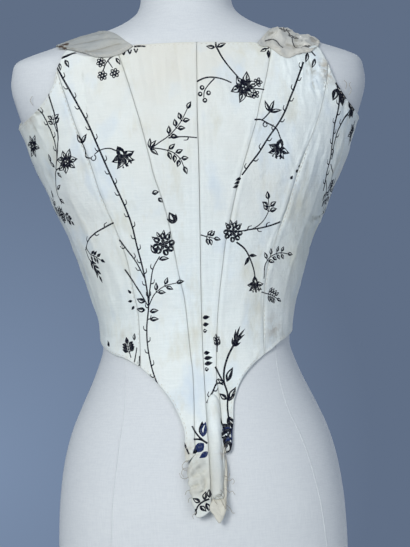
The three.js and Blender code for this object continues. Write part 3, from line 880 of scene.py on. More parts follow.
def flower(drawing, centre, radius, petals=6, turn=0.0):
    """Pointed, slightly bent petals round an eye, dark with pale streaks."""
    centre = np.asarray(centre, float)
    for k in range(petals):
        heading = turn + 360 * k / petals + 8 * math.sin(2.4 * k)
        reach = radius * (1.0 + 0.13 * math.sin(1.9 * k + 0.5))
        width, bend = radius * (0.58 + 0.08 * math.sin(3.1 * k)), 0.22 * (-1) ** k
        root = centre + aim(heading) * radius * 0.06
        drawing.add(blade(root, heading, reach, width, bend), DARK)
        drawing.add(blade(root, heading, reach, width, bend, 0.36, 0.84, (0.22, 0.62)), BARE)
        drawing.add(blade(root, heading, reach, width, bend, 0.46, 0.76, (-0.52, -0.26)), BARE)
    drawing.add(oval(centre, radius * 0.15, sides=9), DARK)
    for k in range(3):
        drawing.add(oval(centre + aim(turn + 120 * k) * radius * 0.13, radius * 0.05, sides=6), BARE)


def lily(drawing, base, heading, size):
    """A flower from the side: a narrow throat, petals that curl out of it, and stamens."""
    base = np.asarray(base, float)
    mouth = base + aim(heading) * size * 0.42
    for lean, reach in ((-82, 0.62), (76, 0.66), (-46, 0.74), (40, 0.72), (-6, 0.66)):
        petal = (mouth, heading + lean, size * reach, size * 0.37, 0.55 if lean < 0 else -0.55)
        drawing.add(blade(*petal), DARK)
        drawing.add(blade(*petal, 0.36, 0.8, (0.24, 0.66)), BARE)
    drawing.add(blade(base, heading, size * 0.8, size * 0.4), DARK)
    drawing.add(blade(base, heading, size * 0.8, size * 0.4, 0, 0.3, 0.75, (-0.1, 0.45)), BARE)
    for lean in (-20, 2, 22):
        tip = mouth + aim(heading + lean) * size * 0.62
        drawing.ribbon([mouth, tip], 1.0, 0.7)
        drawing.add(oval(tip, 1.1, sides=6), DARK)


def blossom(drawing, centre, radius, lobes=5, turn=0.0):
    """A small round flower with a pale eye."""
    centre = np.asarray(centre, float)
    for k in range(lobes):
        heading = turn + 360 * k / lobes
        drawing.add(oval(centre + aim(heading) * radius * 0.6, radius * 0.46, 0.85, heading, 8), DARK)
        drawing.add(oval(centre + aim(heading) * radius * 0.66, radius * 0.17, 0.8, heading + 20, 6), BARE)
    drawing.add(oval(centre, radius * 0.30, sides=8), DARK)
    drawing.add(oval(centre, radius * 0.14, sides=6), BARE)


def posy(drawing, centre, radius, turn=0.0):
    """A full round head: a ring of broad petals round a ring of small ones, with leaves above."""
    centre = np.asarray(centre, float)
    for lean in (-40, -12, 18, 46):
        heading = turn + 90 + lean
        leaf(drawing, centre + aim(heading) * radius * 0.7, heading, radius * 0.5, radius * 0.26)
    for k in range(8):
        heading = turn + 45 * k + 6 * math.sin(2.2 * k)
        drawing.add(oval(centre + aim(heading) * radius * 0.70, radius * 0.33, 0.86, heading, 9), DARK)
        root = centre + aim(heading) * radius * 0.62
        drawing.add(blade(root, heading + 12, radius * 0.30, radius * 0.12), BARE)
    drawing.add(oval(centre, radius * 0.46, sides=14), BARE)
    for k in range(5):
        heading = turn + 20 + 72 * k
        drawing.add(oval(centre + aim(heading) * radius * 0.29, radius * 0.21, 0.8, heading, 8), DARK)
    drawing.add(oval(centre, radius * 0.13, sides=7), DARK)


def berries(drawing, points, radius=2.4):
    for point in points:
        drawing.add(oval(point, radius), DARK)
        drawing.add(oval(np.asarray(point) + 0.3, radius * 0.38, sides=7), BARE)


def bud(drawing, base, heading, length=11.0, width=6.5):
    """A closed flower: a plump blade, two sepals and a pointed tip."""
    drawing.add(blade(base, heading, length, width), DARK)
    drawing.add(blade(base, heading, length, width * 0.5, 0, 0.3, 0.8, (-0.2, 0.9)), BARE)
    for side in (-1, 1):
        leaf(drawing, base, heading + side * 34, length * 0.62, width * 0.36, side * 0.2, False)


def tendril(drawing, centre, radius, start, sweep):
    turns = np.radians(np.linspace(start, start + sweep, max(8, int(abs(sweep) / 24))))
    radii = np.linspace(radius, radius * 0.55, len(turns))
    drawing.ribbon([centre + r * aim(math.degrees(t)) for r, t in zip(radii, turns)], 1.3, 0.9)


print("Motifs: leaf, stem, spray, flower, lily, blossom, posy, berries, bud, tendril")

# %% [markdown]
# Now the layout of the print. The left side has a long thorny stem that climbs to the shoulder with
# branches, the right side a stem that leans the other way, and flowers, sprays and leaves fill the
# space between. The layout of the back follows the photograph: its places, and the points of its stems,
# were read off the picture on a grid of this chart. The front, which a viewer at the back doesn't see,
# gets the same kinds of motif in an even scatter. Every place is a distance from the centre back and a
# height, in millimetres.

# %% Print on the left of the back
def draw_left(d):
    long_stem = [(-157, 643), (-141, 614), (-124, 581), (-112, 553), (-100, 523), (-89, 499), (-78, 471),
                 (-71, 442), (-64, 411), (-60, 378), (-63, 350), (-62, 325), (-57, 300), (-53, 289)]
    stem(d, long_stem, 1.5, True, every=13)
    stem(d, [(-87, 418), (-75, 401), (-61, 377)], 1.2)
    stem(d, [(-92, 451), (-82, 438), (-72, 424), (-64, 408)], 1.2, True)
    stem(d, [(-60, 377), (-57, 400), (-53, 419), (-46, 431)], 1.1, True)
    posy(d, (-41, 444), 12.5, 10)
    leaf(d, (-50, 434), 118, 10, 4.5)
    leaf(d, (-47, 428), 2, 10, 4.4)
    spray(d, [(-60, 376), (-52, 390), (-41, 398), (-28, 401)], 2, 8, 4)
    for y, heading in [(385, 158), (376, 172)]:
        leaf(d, (-64, y - 4), heading, 9, 5)
    for y, heading in [(371, 6), (362, 2)]:
        leaf(d, (-59, y - 1), heading, 9, 4.6)
    for x, y, heading in [(-80, 391, 130), (-79, 383, 190), (-77, 377, 230)]:
        leaf(d, (x, y), heading, 5, 2.6, 0.1, False)
    lily(d, (-90, 552), -64, 23)
    stem(d, [(-91, 547), (-98, 550), (-109, 549), (-116, 545)], 1.0)
    tendril(d, (-118, 541), 3.5, 70, -330)
    stem(d, [(-120, 541), (-126, 542), (-127, 550), (-130, 557)], 1.0)
    for heading in (62, 118):
        leaf(d, (-130, 557), heading, 10, 4)
    for x, y in [(-105, 645), (-104, 630), (-90, 632)]:
        blossom(d, (x, y), 5.6, 6, 15)
    stem(d, [(-85, 653), (-93, 650), (-99, 644), (-103, 635)], 1.2)
    stem(d, [(-97, 646), (-92, 638)], 0.9)
    leaf(d, (-94, 651), 120, 7, 3.4)
    leaf(d, (-88, 649), -60, 8, 3.6)
    for k in range(3):
        stem(d, [(-81 + 7 * k, 656.5 + k), (-79 + 7 * k, 652 + k), (-77 + 7 * k, 656.5 + k)], 1.3)
    stem(d, [(-67, 661), (-60, 661.5), (-54, 661)], 1.6)
    stem(d, [(-151, 652), (-140, 655), (-128, 658)], 1.6)
    leaf(d, (-147, 650), -62, 9, 4.2)
    leaf(d, (-154, 647), -78, 8, 3.4)
    leaf(d, (-166, 634), -30, 6, 4)
    stem(d, [(-171, 625), (-165, 606), (-161, 585), (-160, 566), (-164, 546), (-171, 531)], 1.3)
    stem(d, [(-189, 604), (-176, 589), (-169, 573), (-164, 553), (-165, 542)], 1.2, True)
    spray(d, [(-161, 572), (-163, 580), (-164, 590)], 2, 7, 4, 60, True, False)
    flower(d, (-152, 539), 13.5, 7, 8)
    stem(d, [(-163, 533), (-170, 531), (-176, 519), (-178, 505), (-174, 494)], 1.1)
    for x, y, heading in [(-172, 534, 128), (-176, 540, 100), (-170, 528, -38), (-176, 510, 30),
                          (-176, 500, -40)]:
        leaf(d, (x, y), heading, 8, 3.4)
    posy(d, (-185, 482), 9)
    spray(d, [(-180, 487), (-172, 481), (-163, 474)], 3, 6, 3, 50, False)
    stem(d, [(-98, 470), (-110, 465), (-124, 459), (-137, 449), (-141, 442)], 1.3, True)
    spray(d, [(-141, 445), (-134, 437), (-126, 434), (-118, 430)], 3, 6, 3, 60, False)
    spray(d, [(-142, 443), (-138, 432), (-131, 424), (-124, 412)], 3, 8, 2.6, 30, False)
    spray(d, [(-84, 318), (-86, 325), (-88, 334)], 3, 7, 4.4, 62, False)
    leaf(d, (-79, 338), 82, 7, 3.6)
    stem(d, [(-80, 313), (-76, 330)], 1.1)
    stem(d, [(-74, 309), (-73, 320)], 1.5)
    leaf(d, (-116, 331), 120, 7, 3, 0.1, False)
    leaf(d, (-53, 500), 10, 7, 4.6)
    leaf(d, (-46, 495), -50, 6, 4)
    bud(d, (-28, 467), 118, 14, 9)
    spray(d, [(-53, 548), (-44, 554), (-33, 561), (-19, 576), (-11, 590)], 3, 8, 4.6, 55)
    stem(d, [(-33, 559), (-18, 560), (-1, 558.5)], 1.1, True)
    spray(d, [(-52, 549), (-40, 547), (-28, 543), (-20, 535), (-17, 528)], 3, 8, 4.4, 60)
    for heading in (86, 50, -38):
        leaf(d, (-54, 548), heading, 10, 4)


print("Left of the back drawn")

# %% Print on the right of the back
def draw_right(d):
    flower(d, (54, 613), 15.8, 6, 12)
    stem(d, [(25, 659), (32, 645), (41, 632), (48, 624)], 1.4)
    leaf(d, (24, 658), 172, 9, 4.4)
    leaf(d, (26, 658), 24, 10, 4.6)
    stem(d, [(25, 658), (25, 664)], 1.6)
    stem(d, [(1, 620), (12, 624), (27, 623), (40, 618)], 1.3)
    stem(d, [(21, 623), (14, 616), (9, 609), (8, 602)], 1.0)
    berries(d, [(6.5, 613), (4, 606), (13.5, 607), (9, 599)], 2.8)
    blossom(d, (70, 618), 5.2)
    blossom(d, (66, 605), 5.2, 5, 30)
    stem(d, [(60, 611), (68, 611), (77, 610)], 1.2)
    long_stem = [(126, 641), (117, 622), (107, 601), (97, 581), (88, 568), (78, 555), (68, 541), (56, 527),
                 (48, 517)]
    stem(d, long_stem, 1.6, True, every=13)
    for heading in (66, 112, 8):
        leaf(d, (82, 585), heading, 12, 4)
    stem(d, [(82, 585), (76, 579), (72, 576)], 1.1)
    stem(d, [(64, 577), (71, 577), (79, 573), (89, 567), (94, 556)], 1.2)
    tendril(d, (76.5, 571.3), 3, 100, 330)
    lily(d, (95, 556), -108, 21)
    for k in range(3):
        leaf(d, (47 - 1.6 * k, 514 - 4 * k), 200, 6, 3, 0.1, False)
    stem(d, [(128, 654), (135, 655), (142, 648)], 1.5)
    leaf(d, (133, 652), -110, 10, 4.4)
    leaf(d, (141, 645), -115, 10, 4)
    stem(d, [(84, 655), (90, 659), (99, 659), (107, 653)], 1.3)
    leaf(d, (84, 656), 200, 8, 3.4)
    leaf(d, (85, 654), -96, 8, 4, 0.1, False)
    stem(d, [(112, 651), (119, 655), (125, 651), (117, 650)], 1.3)
    side_stem = [(168, 617), (170, 600), (167, 580), (165, 560), (164, 540), (162, 519), (163, 500)]
    stem(d, side_stem, 1.5, True, every=11)
    for x, y, heading, heart in [(165, 618, -20, False), (167, 614, -50, True), (170, 609, -30, False),
                                 (172, 607, -75, False), (166, 612, -110, True)]:
        leaf(d, (x, y), heading, 12, 7.5, 0.1, heart)
    stem(d, [(191, 592), (181, 582), (173, 567), (168, 550), (166, 535)], 1.3, True)
    for heading in (130, 70, 10, -60, -100):
        leaf(d, (192, 591), heading, 9, 5.5, 0.1, heading == 70)
    spray(d, [(166, 530), (176, 516), (182, 500), (184, 484)], 3, 8, 3.6)
    spray(d, [(163, 512), (172, 497), (176, 480)], 2, 8, 3.6)
    blossom(d, (184, 508), 6)
    leaf(d, (112, 520), 30, 4, 3, 0, False)
    leaf(d, (116, 525), 60, 3, 2, 0, False)
    leaf(d, (106, 512), 60, 4, 2.6, 0, False)
    spray(d, [(50, 456), (64, 460), (74, 468), (80, 480), (79, 490)], 2, 8, 4.6, 60, start=0.74)
    stem(d, [(94, 466), (84, 462), (70, 459), (56, 457.5), (46, 456)], 1.3, True, every=12)
    posy(d, (37, 455), 11, -8)
    stem(d, [(41, 444), (50, 437), (58, 423), (62, 410), (63, 403)], 1.4)
    leaf(d, (56, 429), -4, 8, 3.2, 0.1, False)
    leaf(d, (56, 428), -122, 10, 3.4, 0.1, False)
    lily(d, (62, 406), -84, 17)
    spray(d, [(74, 403), (76, 420), (86, 429), (98, 431), (107, 430)], 4, 7, 3.6, 66)
    spray(d, [(71, 388), (78, 386), (86, 384), (94, 380)], 4, 7, 3.2, 66)
    spray(d, [(0.5, 453), (7, 451), (15, 449)], 2, 7, 4, 66)
    for y, length in [(361, 7), (353, 6), (346, 4), (321, 6), (315, 8), (309, 8), (303, 4)]:
        leaf(d, (1, y), 8, length, 4, 0.1, length < 5)
    spray(d, [(16, 322), (16.5, 330), (16, 337)], 3, 5, 3, 34)
    bud(d, (35, 328), 60, 14, 6.5)
    for heading, length in ((84, 13), (70, 17), (50, 17), (36, 13)):
        leaf(d, (37, 332), heading, length, 2.6, 0.1, False)
    stem(d, [(35, 329), (28, 316), (23, 302), (22, 289), (25, 276), (24, 262), (24, 250)], 1.7)
    stem(d, [(13, 306), (17, 297), (21, 289)], 1.5)
    leaf(d, (25, 289), 62, 15, 6)
    leaf(d, (26, 268), 58, 15, 6)
    leaf(d, (22, 288), 150, 7, 4)
    leaf(d, (24, 270), 140, 9, 5)
    stem(d, [(1, 267), (8, 278), (15, 288), (21, 286)], 1.5, True, every=9)


print("Right of the back drawn")

# %% Print on the tail and on the front
def draw_tail(d):
    for k, (x, y, heading, tone) in enumerate([
            (24, 252, -75, DARK), (17, 244, -50, DARK), (27, 246, -110, DARK), (16, 238, -20, BLUE),
            (27, 238, -150, DARK), (19, 232, -80, DARK), (27, 232, -120, BLUE), (24, 224, -100, DARK)]):
        leaf(d, (x, y), heading, 15, 7.5, 0.1, k % 2 == 0, tone)
    stem(d, [(14, 252), (18, 240), (26, 226)], 1.2)
    bud(d, (21, 226), -84, 13, 6)
    for heading, tone in ((88, DARK), (74, BLUE)):
        leaf(d, (-6, 231), heading, 14, 6.5, 0.08, tone == BLUE, tone)
    stem(d, [(-1, 224), (-9, 230), (-14, 237), (-17, 243)], 1.5)
    stem(d, [(-1, 224), (-8, 228), (-16, 229)], 1.6)
    leaf(d, (-5, 224), 215, 13, 8, 0.15, False, BLUE)
    leaf(d, (-13, 217), 215, 5, 3, 0, False)
    leaf(d, (-1, 215), 212, 10, 5, 0.1, False, BLUE)
    stem(d, [(-27, 238), (-28, 230), (-25, 221), (-22, 213)], 1.6)
    stem(d, [(-2, 166), (-8, 164), (-14, 160), (-18, 152)], 1.4)
    for x, y, heading in [(-2, 167, 88), (-8, 165, 74), (-12, 163, 152), (-6, 162, -70), (-13, 159, -40),
                          (-17, 156, -120)]:
        leaf(d, (x, y), heading, 8, 4.6)


FRONT_STEMS = [
    # points from the side to the centre front, thorny
    ([(212, 388), (222, 430), (216, 470), (232, 515), (226, 560)], True),
    ([(262, 372), (272, 410), (292, 440), (300, 486)], True),
    ([(318, 346), (326, 392), (352, 430), (358, 480), (350, 530)], True),
    ([(240, 352), (252, 366), (268, 372)], False),
]
FRONT_SPRAYS = [
    [(222, 430), (236, 438), (248, 452), (252, 466)],
    [(226, 540), (244, 548), (256, 562)],
    [(300, 470), (286, 484), (270, 490)],
    [(326, 392), (306, 398), (290, 392)],
    [(355, 505), (374, 512), (386, 528)],
    [(216, 470), (204, 484), (196, 502)],
]
FRONT_FLOWERS = [((206, 560), 13), ((300, 498), 15), ((346, 540), 14), ((258, 470), 10), ((390, 470), 13)]
FRONT_POSIES = [((276, 545), 11), ((326, 330), 9), ((404, 545), 10), ((234, 398), 10)]
SHARP_CREASES = [
    # line, half width, rise. Each is also drawn first, as a bare ribbon, so that the net has points there.
    ([(190, 475), (178, 473), (164, 470), (152, 470), (140, 473)], 1.2, -2.2),
    ([(188, 478.5), (174, 477), (160, 474)], 1.2, 0.9),
    ([(133, 648), (136, 634), (134, 620), (140, 604)], 1.1, -1.3),
    ([(142, 644), (147, 630), (153, 618), (155, 604)], 1.1, 1.0),
    ([(150, 640), (143, 632), (134, 629)], 1.0, -1.2),
    ([(152, 628), (145, 622), (138, 621)], 1.0, 0.8),
    ([(154, 616), (147, 611), (139, 612)], 1.0, -1.2),
    ([(156, 624), (150, 617), (143, 618), (138, 626)], 0.9, -1.1),
    ([(128, 646), (131, 638), (129, 626)], 0.9, -0.9),
    ([(120, 650), (124, 630), (121, 606), (126, 584)], 1.1, 0.7),
    ([(104, 650), (107, 632), (104, 612)], 1.1, -0.6),
    ([(-198, 600), (-186, 594), (-172, 596)], 1.1, -1.0),
    ([(-200, 592), (-190, 580), (-183, 564)], 1.1, 1.0),
    ([(-24.5, 195), (-18, 200.5), (-10, 203)], 1.1, 1.5),
    ([(-22, 188), (-16, 192), (-8, 193), (-3, 197)], 1.0, -2.4),
    ([(-22, 182), (-15, 181), (-8, 184), (-4, 181)], 0.9, 1.0),
    ([(-23.5, 178), (-18, 179.5), (-11, 182)], 1.1, -3.2),
    ([(-7, 192), (-5, 182), (-8, 174), (-14, 172)], 1.0, -2.6),
    ([(-12, 196), (-10, 188), (-12, 180), (-9, 172)], 0.9, 0.8),
    ([(-24, 262), (-21, 246), (-18, 230)], 1.0, 0.8),
    ([(-44, 283), (-30, 279), (-17, 280)], 1.1, 0.8),
]


def draw_front(d, sign):
    def flip(points):
        return [(sign * x, y + (6 if sign > 0 else 0)) for x, y in points]

    for points, thorny in FRONT_STEMS:
        stem(d, flip(points), 1.4, thorny)
    for points in FRONT_SPRAYS:
        spray(d, flip(points), 3, 8, 4)
    for centre, radius in FRONT_FLOWERS:
        flower(d, flip([centre])[0], radius, 6, 15 * sign)
    for centre, radius in FRONT_POSIES:
        posy(d, flip([centre])[0], radius)


bodice_print = Drawing()
for line, half_width, _ in SHARP_CREASES:
    bodice_print.ribbon(soft_path(line), 1.5 * half_width, tone=BARE)
draw_left(bodice_print)
draw_right(bodice_print)
draw_tail(bodice_print)
draw_front(bodice_print, -1)
draw_front(bodice_print, 1)
print("Ink shapes:", len(bodice_print.faces))

# %% [markdown]
# Linen that has been worn is never smooth. Under it lie stiff bones in channels, which press long ridges
# through. The cloth puckers at the armholes, drags between the bones and crumples on the tail. Each
# ridge or trough is placed as a soft line with a half width and a rise, negative for a trough.
# A slow ripple, the sum of a few long waves, breaks up what would else be too even.

# %% Bones, creases and ripples
def path_distance(points, path, closed=False):
    """How far each point lies from a line, and its place along the line from 0 to 1."""
    path = np.asarray(path, float)
    if closed:
        path = np.vstack([path, path[:1]])
    starts, steps = path[:-1], np.diff(path, axis=0)
    nearest, share = np.full(len(points), np.inf), np.zeros(len(points))
    for k, (start, step) in enumerate(zip(starts, steps)):
        t = np.clip((points - start) @ step / max(float(step @ step), 1e-9), 0, 1)
        away = points - start - t[:, None] * step
        far = np.hypot(away[:, 0], away[:, 1])
        closer = far < nearest
        nearest[closer], share[closer] = far[closer], (k + t[closer]) / len(steps)
    return nearest, share


def crease_relief(points, creases):
    height = np.zeros(len(points))
    for path, half_width, rise in creases:
        path = np.asarray(path, float)
        low, high = path.min(0) - 3 * half_width, path.max(0) + 3 * half_width
        near = np.all((points > low) & (points < high), axis=1)
        if near.any():
            far, share = path_distance(points[near], path)
            fade = np.minimum(1, 4 * np.minimum(share + 0.04, 1.04 - share))
            height[near] += rise * fade * np.exp(-((far / half_width) ** 2))
    return height


RIPPLES = [
    # wavelength, heading across the wave, phase, rise
    (83, 8, 0.3, 0.55), (57, 97, 1.9, 0.36), (41, 28, 4.1, 0.28), (33, 152, 2.2, 0.24), (24, 70, 5.3, 0.15),
    (17, 12, 0.9, 0.14), (11, 118, 3.1, 0.06),
]
TAIL_RIPPLES = [(19, 62, 0.5, 0.40), (13, 110, 2.7, 0.34), (9, 35, 4.4, 0.22), (6.5, 84, 1.2, 0.14)]


def ripple(points, waves):
    bent = points + 4 * np.sin(points[:, ::-1] / 23.0)
    return sum(rise * np.sin(2 * math.pi * (bent @ aim(heading)) / length + phase)
               for length, heading, phase, rise in waves)


def seam_bones():
    """Ridges of the bones that lie beside the seams of the back, and the grooves next to them."""
    heights = np.arange(215, 650, 14)
    bones = []
    for side, sign in (("left", -1), ("right", 1)):
        for inward, low in ((-4.2, 215), (4.4, 250)):
            line = [(sign * (SEAM_1[side](h) + inward), h) for h in heights if h > low]
            bones.append((line, 2.0, 0.42))
        for inward in (-4.6, 4.6):
            line = [(sign * (SEAM_2[side](h) + inward), h) for h in heights if 325 < h < 630]
            bones.append((line, 2.2, 0.50))
        bones.append(([(sign * 5.0, h) for h in range(290, 656, 30)], 2.4, 0.28))
        bones.append(([(sign * 11.5, h) for h in range(400, 656, 30)], 2.2, 0.30))
    return bones


SEAM_1_HEIGHTS = [205, 237, 272, 297, 314, 345, 380, 411, 443, 474, 500, 520, 547, 573, 594, 627, 657]
SEAM_1 = {
    "left": smooth_curve(
        SEAM_1_HEIGHTS,
        [15, 14.5, 13, 12.5, 13.5, 15.5, 18.5, 25, 30.5, 36.5, 44, 50.5, 56.5, 62.5, 68, 77, 86]),
    "right": smooth_curve(
        SEAM_1_HEIGHTS,
        [17, 16.8, 15.8, 14, 15, 17, 20, 24, 28.5, 35.5, 41.5, 47.5, 56.5, 65.5, 71, 81, 89]),
}
SEAM_2_HEIGHTS = [307, 345, 370, 390, 412, 432, 448, 465, 487, 505, 533, 558, 582, 609, 626, 641]
SEAM_2 = {
    "left": smooth_curve(
        SEAM_2_HEIGHTS,
        [72, 72, 73, 77, 80.5, 85, 90.5, 97, 106.5, 113.5, 121.5, 130.5, 139, 147, 152.5, 157]),
    "right": smooth_curve(
        SEAM_2_HEIGHTS,
        [74, 74, 74, 75.5, 78.5, 84, 90, 96.5, 105, 110.5, 120.5, 132.5, 143, 151, 155, 158]),
}
CENTRE_SEAM = smooth_curve([590, 620, 650, 665], [0, 1.2, 2.7, 3.7])
HAND_CREASES = [
    # line, half width, rise
    ([(-128, 652), (-125, 612), (-121, 560), (-117, 515)], 1.6, -0.7),
    ([(-64, 655), (-61, 630), (-56, 600)], 2.6, 0.45), ([(-48, 660), (-47, 625), (-43, 585)], 2.8, -0.4),
    ([(-34, 658), (-33, 630), (-35, 605)], 2.4, 0.4), ([(-20, 660), (-18, 632), (-17, 600)], 2.6, -0.35),
    ([(-80, 575), (-66, 570), (-50, 574)], 2.6, 0.3), ([(-120, 640), (-104, 628), (-92, 622)], 2.4, -0.3),
    ([(30, 655), (34, 620), (40, 590)], 3.2, 0.35), ([(60, 590), (58, 560), (52, 530)], 3.0, 0.35),
    ([(100, 650), (104, 630), (112, 612)], 1.8, 0.5), ([(118, 648), (122, 632), (120, 616)], 1.6, -0.5),
    ([(128, 640), (134, 628), (132, 612), (138, 600)], 1.8, 0.8),
    ([(96, 560), (110, 520), (112, 490)], 2.4, 0.4),
    ([(-200, 604), (-188, 590), (-184, 576)], 1.8, 0.9), ([(-205, 598), (-196, 585), (-190, 570)], 1.6, -0.8),
    ([(196, 600), (186, 590), (180, 574)], 1.8, 0.9), ([(190, 610), (180, 598), (176, 584)], 1.6, -0.8),
    ([(120, 330), (100, 322), (84, 324)], 1.8, 0.6), ([(150, 342), (130, 336), (112, 338)], 1.8, -0.5),
    ([(-130, 340), (-112, 326), (-94, 322)], 1.8, 0.6), ([(-150, 350), (-128, 342), (-104, 344)], 2.0, -0.5),
    ([(-58, 300), (-40, 292), (-22, 294)], 1.7, 0.6), ([(-36, 268), (-26, 264), (-17, 266)], 1.4, 0.6),
    ([(-119, 645), (-116, 600), (-112, 560)], 3.0, 0.35),
    ([(146, 642), (146, 620), (142, 600)], 9.0, 0.9), ([(172, 474), (150, 472)], 9.0, 0.9),
    ([(-170, 615), (-158, 560), (-150, 500), (-138, 450)], 4.0, 0.55),
    ([(-196, 596), (-180, 592), (-166, 596)], 2.6, -0.8),
    ([(-192, 585), (-176, 578), (-160, 582)], 2.4, 0.6),
    ([(-175, 560), (-150, 566), (-132, 578)], 3.0, -0.4),
    ([(-110, 440), (-95, 400), (-84, 360)], 4.5, 0.45),
    ([(-100, 345), (-80, 352), (-60, 349)], 2.4, -0.35),
    ([(-66, 318), (-48, 308), (-30, 306)], 2.2, -0.45),
    ([(-50, 285), (-34, 281), (-18, 284)], 1.8, -0.6),
    ([(-46, 276), (-30, 272), (-17, 271)], 1.8, 0.5),
    ([(-36, 262), (-27, 257), (-17, 258)], 1.6, -0.6),
    ([(-30, 252), (-24, 240), (-20, 224)], 2.2, 0.6),
    ([(142, 634), (150, 622), (154, 608)], 2.2, -0.8),
    ([(135, 624), (142, 612), (146, 600)], 2.0, 0.7),
    ([(146, 640), (138, 630), (128, 626)], 2.0, -0.5),
    ([(150, 575), (140, 540), (128, 500), (118, 470)], 2.4, 0.55),
    ([(156, 560), (146, 525), (134, 490)], 2.0, -0.5),
    ([(186, 474), (170, 472), (152, 467), (138, 469)], 1.5, -1.5),
    ([(186, 468), (170, 466), (154, 461), (140, 463)], 1.8, 1.1),
    ([(180, 440), (164, 436), (146, 438)], 2.2, -0.7),
    ([(186, 566), (176, 540), (172, 510)], 3.2, 0.7),
    ([(74, 330), (60, 312), (46, 296), (36, 282)], 2.0, 0.4),
    ([(62, 420), (50, 380), (40, 340), (30, 310)], 3.5, 0.3),
]
TAIL_CREASES = [
    ([(-14, 204), (-13, 182), (-12, 158)], 8.0, 1.3),
    ([(-25, 191), (-19, 198), (-12, 203), (-5, 204)], 3.4, 2.9),
    ([(-22, 186), (-15, 194), (-6, 198)], 2.2, -0.9),
    ([(-23, 184), (-16, 187), (-9, 187)], 1.6, 0.9),
    ([(-22, 180), (-14, 182), (-6, 184), (-3, 190)], 1.3, -0.9),
    ([(-22, 176), (-15, 175), (-9, 177)], 1.8, 0.7),
    ([(-19, 171), (-12, 170), (-4, 172)], 1.5, -0.5),
    ([(-12, 250), (-8, 238), (-4, 222)], 2.4, 0.5),
    ([(26, 262), (22, 246), (20, 228)], 2.0, 0.7),
    ([(31, 256), (27, 240), (24, 224)], 1.8, -0.6),
]
CREASED = 1.35  # of every ridge and trough
ALL_CREASES = seam_bones() + HAND_CREASES + TAIL_CREASES + SHARP_CREASES
SIDE_BONES = [0.12, 0.26, 0.4, 0.54, 0.68, 0.82, 0.94]  # bones of a front, as shares from seam to centre


def front_out(side, share, height):
    start = SEAM_2[side](height) + SEAM_GAP / 2
    return mix(start, half_girth(height) - SEAM_GAP / 2, share)


for side, sign in (("left", -1), ("right", 1)):
    for share in SIDE_BONES:
        heights = np.arange(345, 560, 20.0)
        line = np.stack([sign * front_out(side, share, heights), heights], axis=1)
        ALL_CREASES.append((line, 2.6, 0.42))


def bodice_relief(points):
    worn = 0.55 + 0.45 * ease(np.abs(points[:, 0]), 30, 120)
    tail = 1 - ease(points[:, 1], 215, 285)
    lines = CREASED * crease_relief(points, ALL_CREASES)
    return lines + ripple(points, RIPPLES) * worn + ripple(points, TAIL_RIPPLES) * tail


print("Ridges and troughs:", len(ALL_CREASES))

# %% [markdown]
# Each piece of cloth is cut from the chart as a real one is from linen. Its outline is filled with an
# even net of points, a few rows of points follow the edge, and the ink's shapes are cut into the same
# net, so that every stem has a crisp edge of its own. The net is laid on the body twice, as the outer
# and the inner face, and both meet in the edge. Near the edge the outer face rolls down, as a turned
# and pressed edge does. This is mesh code, which suits sheets of cloth better than any primitive.

# %% Cutting a piece of cloth
EDGE_ROWS = (0.25, 0.7, 1.7)  # rows of points that follow the edge, in from it
EDGE_ROLL = 0.6
EDGE_LEVEL = 0.5  # of the wall's thickness, where the two faces meet
INK_CLEAR = 0.9  # the net keeps this far from an ink shape's corners
INNER_NET = 7.0
LEAST_WALL = 0.35  # of the wall's thickness, which the deepest trough leaves
EDGE_TINT, FOLD_SHADE = 0.2, 0.8  # how much darker an edge is tinted, and how much painted shade sits in a deep fold
FOLD_SHADE_FROM, FOLD_SHADE_FULL = 1.0, 2.2  # depths of a trough where its painted shade starts and is full


def signed_area(outline):
    x, y = outline[:, 0], outline[:, 1]
    return 0.5 * float(np.sum(x * np.roll(y, -1) - y * np.roll(x, -1)))


def dense(points, step=2.0):
    """The same closed outline with no gap between its points wider than a step."""
    made = []
    for a, b in zip(points, np.roll(points, -1, axis=0)):
        parts = max(1, math.ceil(np.linalg.norm(b - a) / step))
        made.extend(mix(a, b, k / parts) for k in range(parts))
    made = np.array(made)
    apart = np.linalg.norm(made - np.roll(made, 1, axis=0), axis=1)
    made = made[apart > 0.2]
    return made if signed_area(made) > 0 else made[::-1]


def inset_row(outline, distance):
    ahead = np.roll(outline, -1, axis=0) - np.roll(outline, 1, axis=0)
    inward = np.stack([-ahead[:, 1], ahead[:, 0]], axis=1)
    inward /= np.maximum(np.linalg.norm(inward, axis=1, keepdims=True), 1e-9)
    row = outline + inward * distance
    far, _ = path_distance(row, outline, True)
    return row[(far > 0.8 * distance) & inside(row, outline)]


def inside(points, outline):
    result = np.zeros(len(points), bool)
    x, y = points[:, 0], points[:, 1]
    for (ax, ay), (bx, by) in zip(outline, np.roll(outline, -1, axis=0)):
        if ay != by:
            crosses = ((ay > y) != (by > y)) & (x < (bx - ax) * (y - ay) / (by - ay) + ax)
            result ^= crosses
    return result


def net_points(outline, spacing, margin):
    low, high = outline.min(0), outline.max(0)
    rows = []
    for k, y in enumerate(np.arange(low[1], high[1], spacing * 0.87)):
        x = np.arange(low[0] + (spacing / 2) * (k % 2), high[0], spacing)
        rows.append(np.stack([x, np.full(len(x), y)], axis=1))
    points = np.concatenate(rows)
    points = points[inside(points, outline)]
    far, _ = path_distance(points, outline, True)
    return points[far > margin]


def near_shapes(drawing, outline):
    """The drawing's shapes that may touch a piece, with their own points."""
    low, high = outline.min(0) - 2, outline.max(0) + 2
    points, faces, tones = [], [], []
    for face, tone in zip(drawing.faces, drawing.tones):
        corners = np.array([drawing.points[i] for i in face])
        if np.all(corners.max(0) > low) and np.all(corners.min(0) < high):
            faces.append(list(range(len(points), len(points) + len(face))))
            points.extend(corners)
            tones.append(tone)
    return np.array(points).reshape(-1, 2), faces, tones


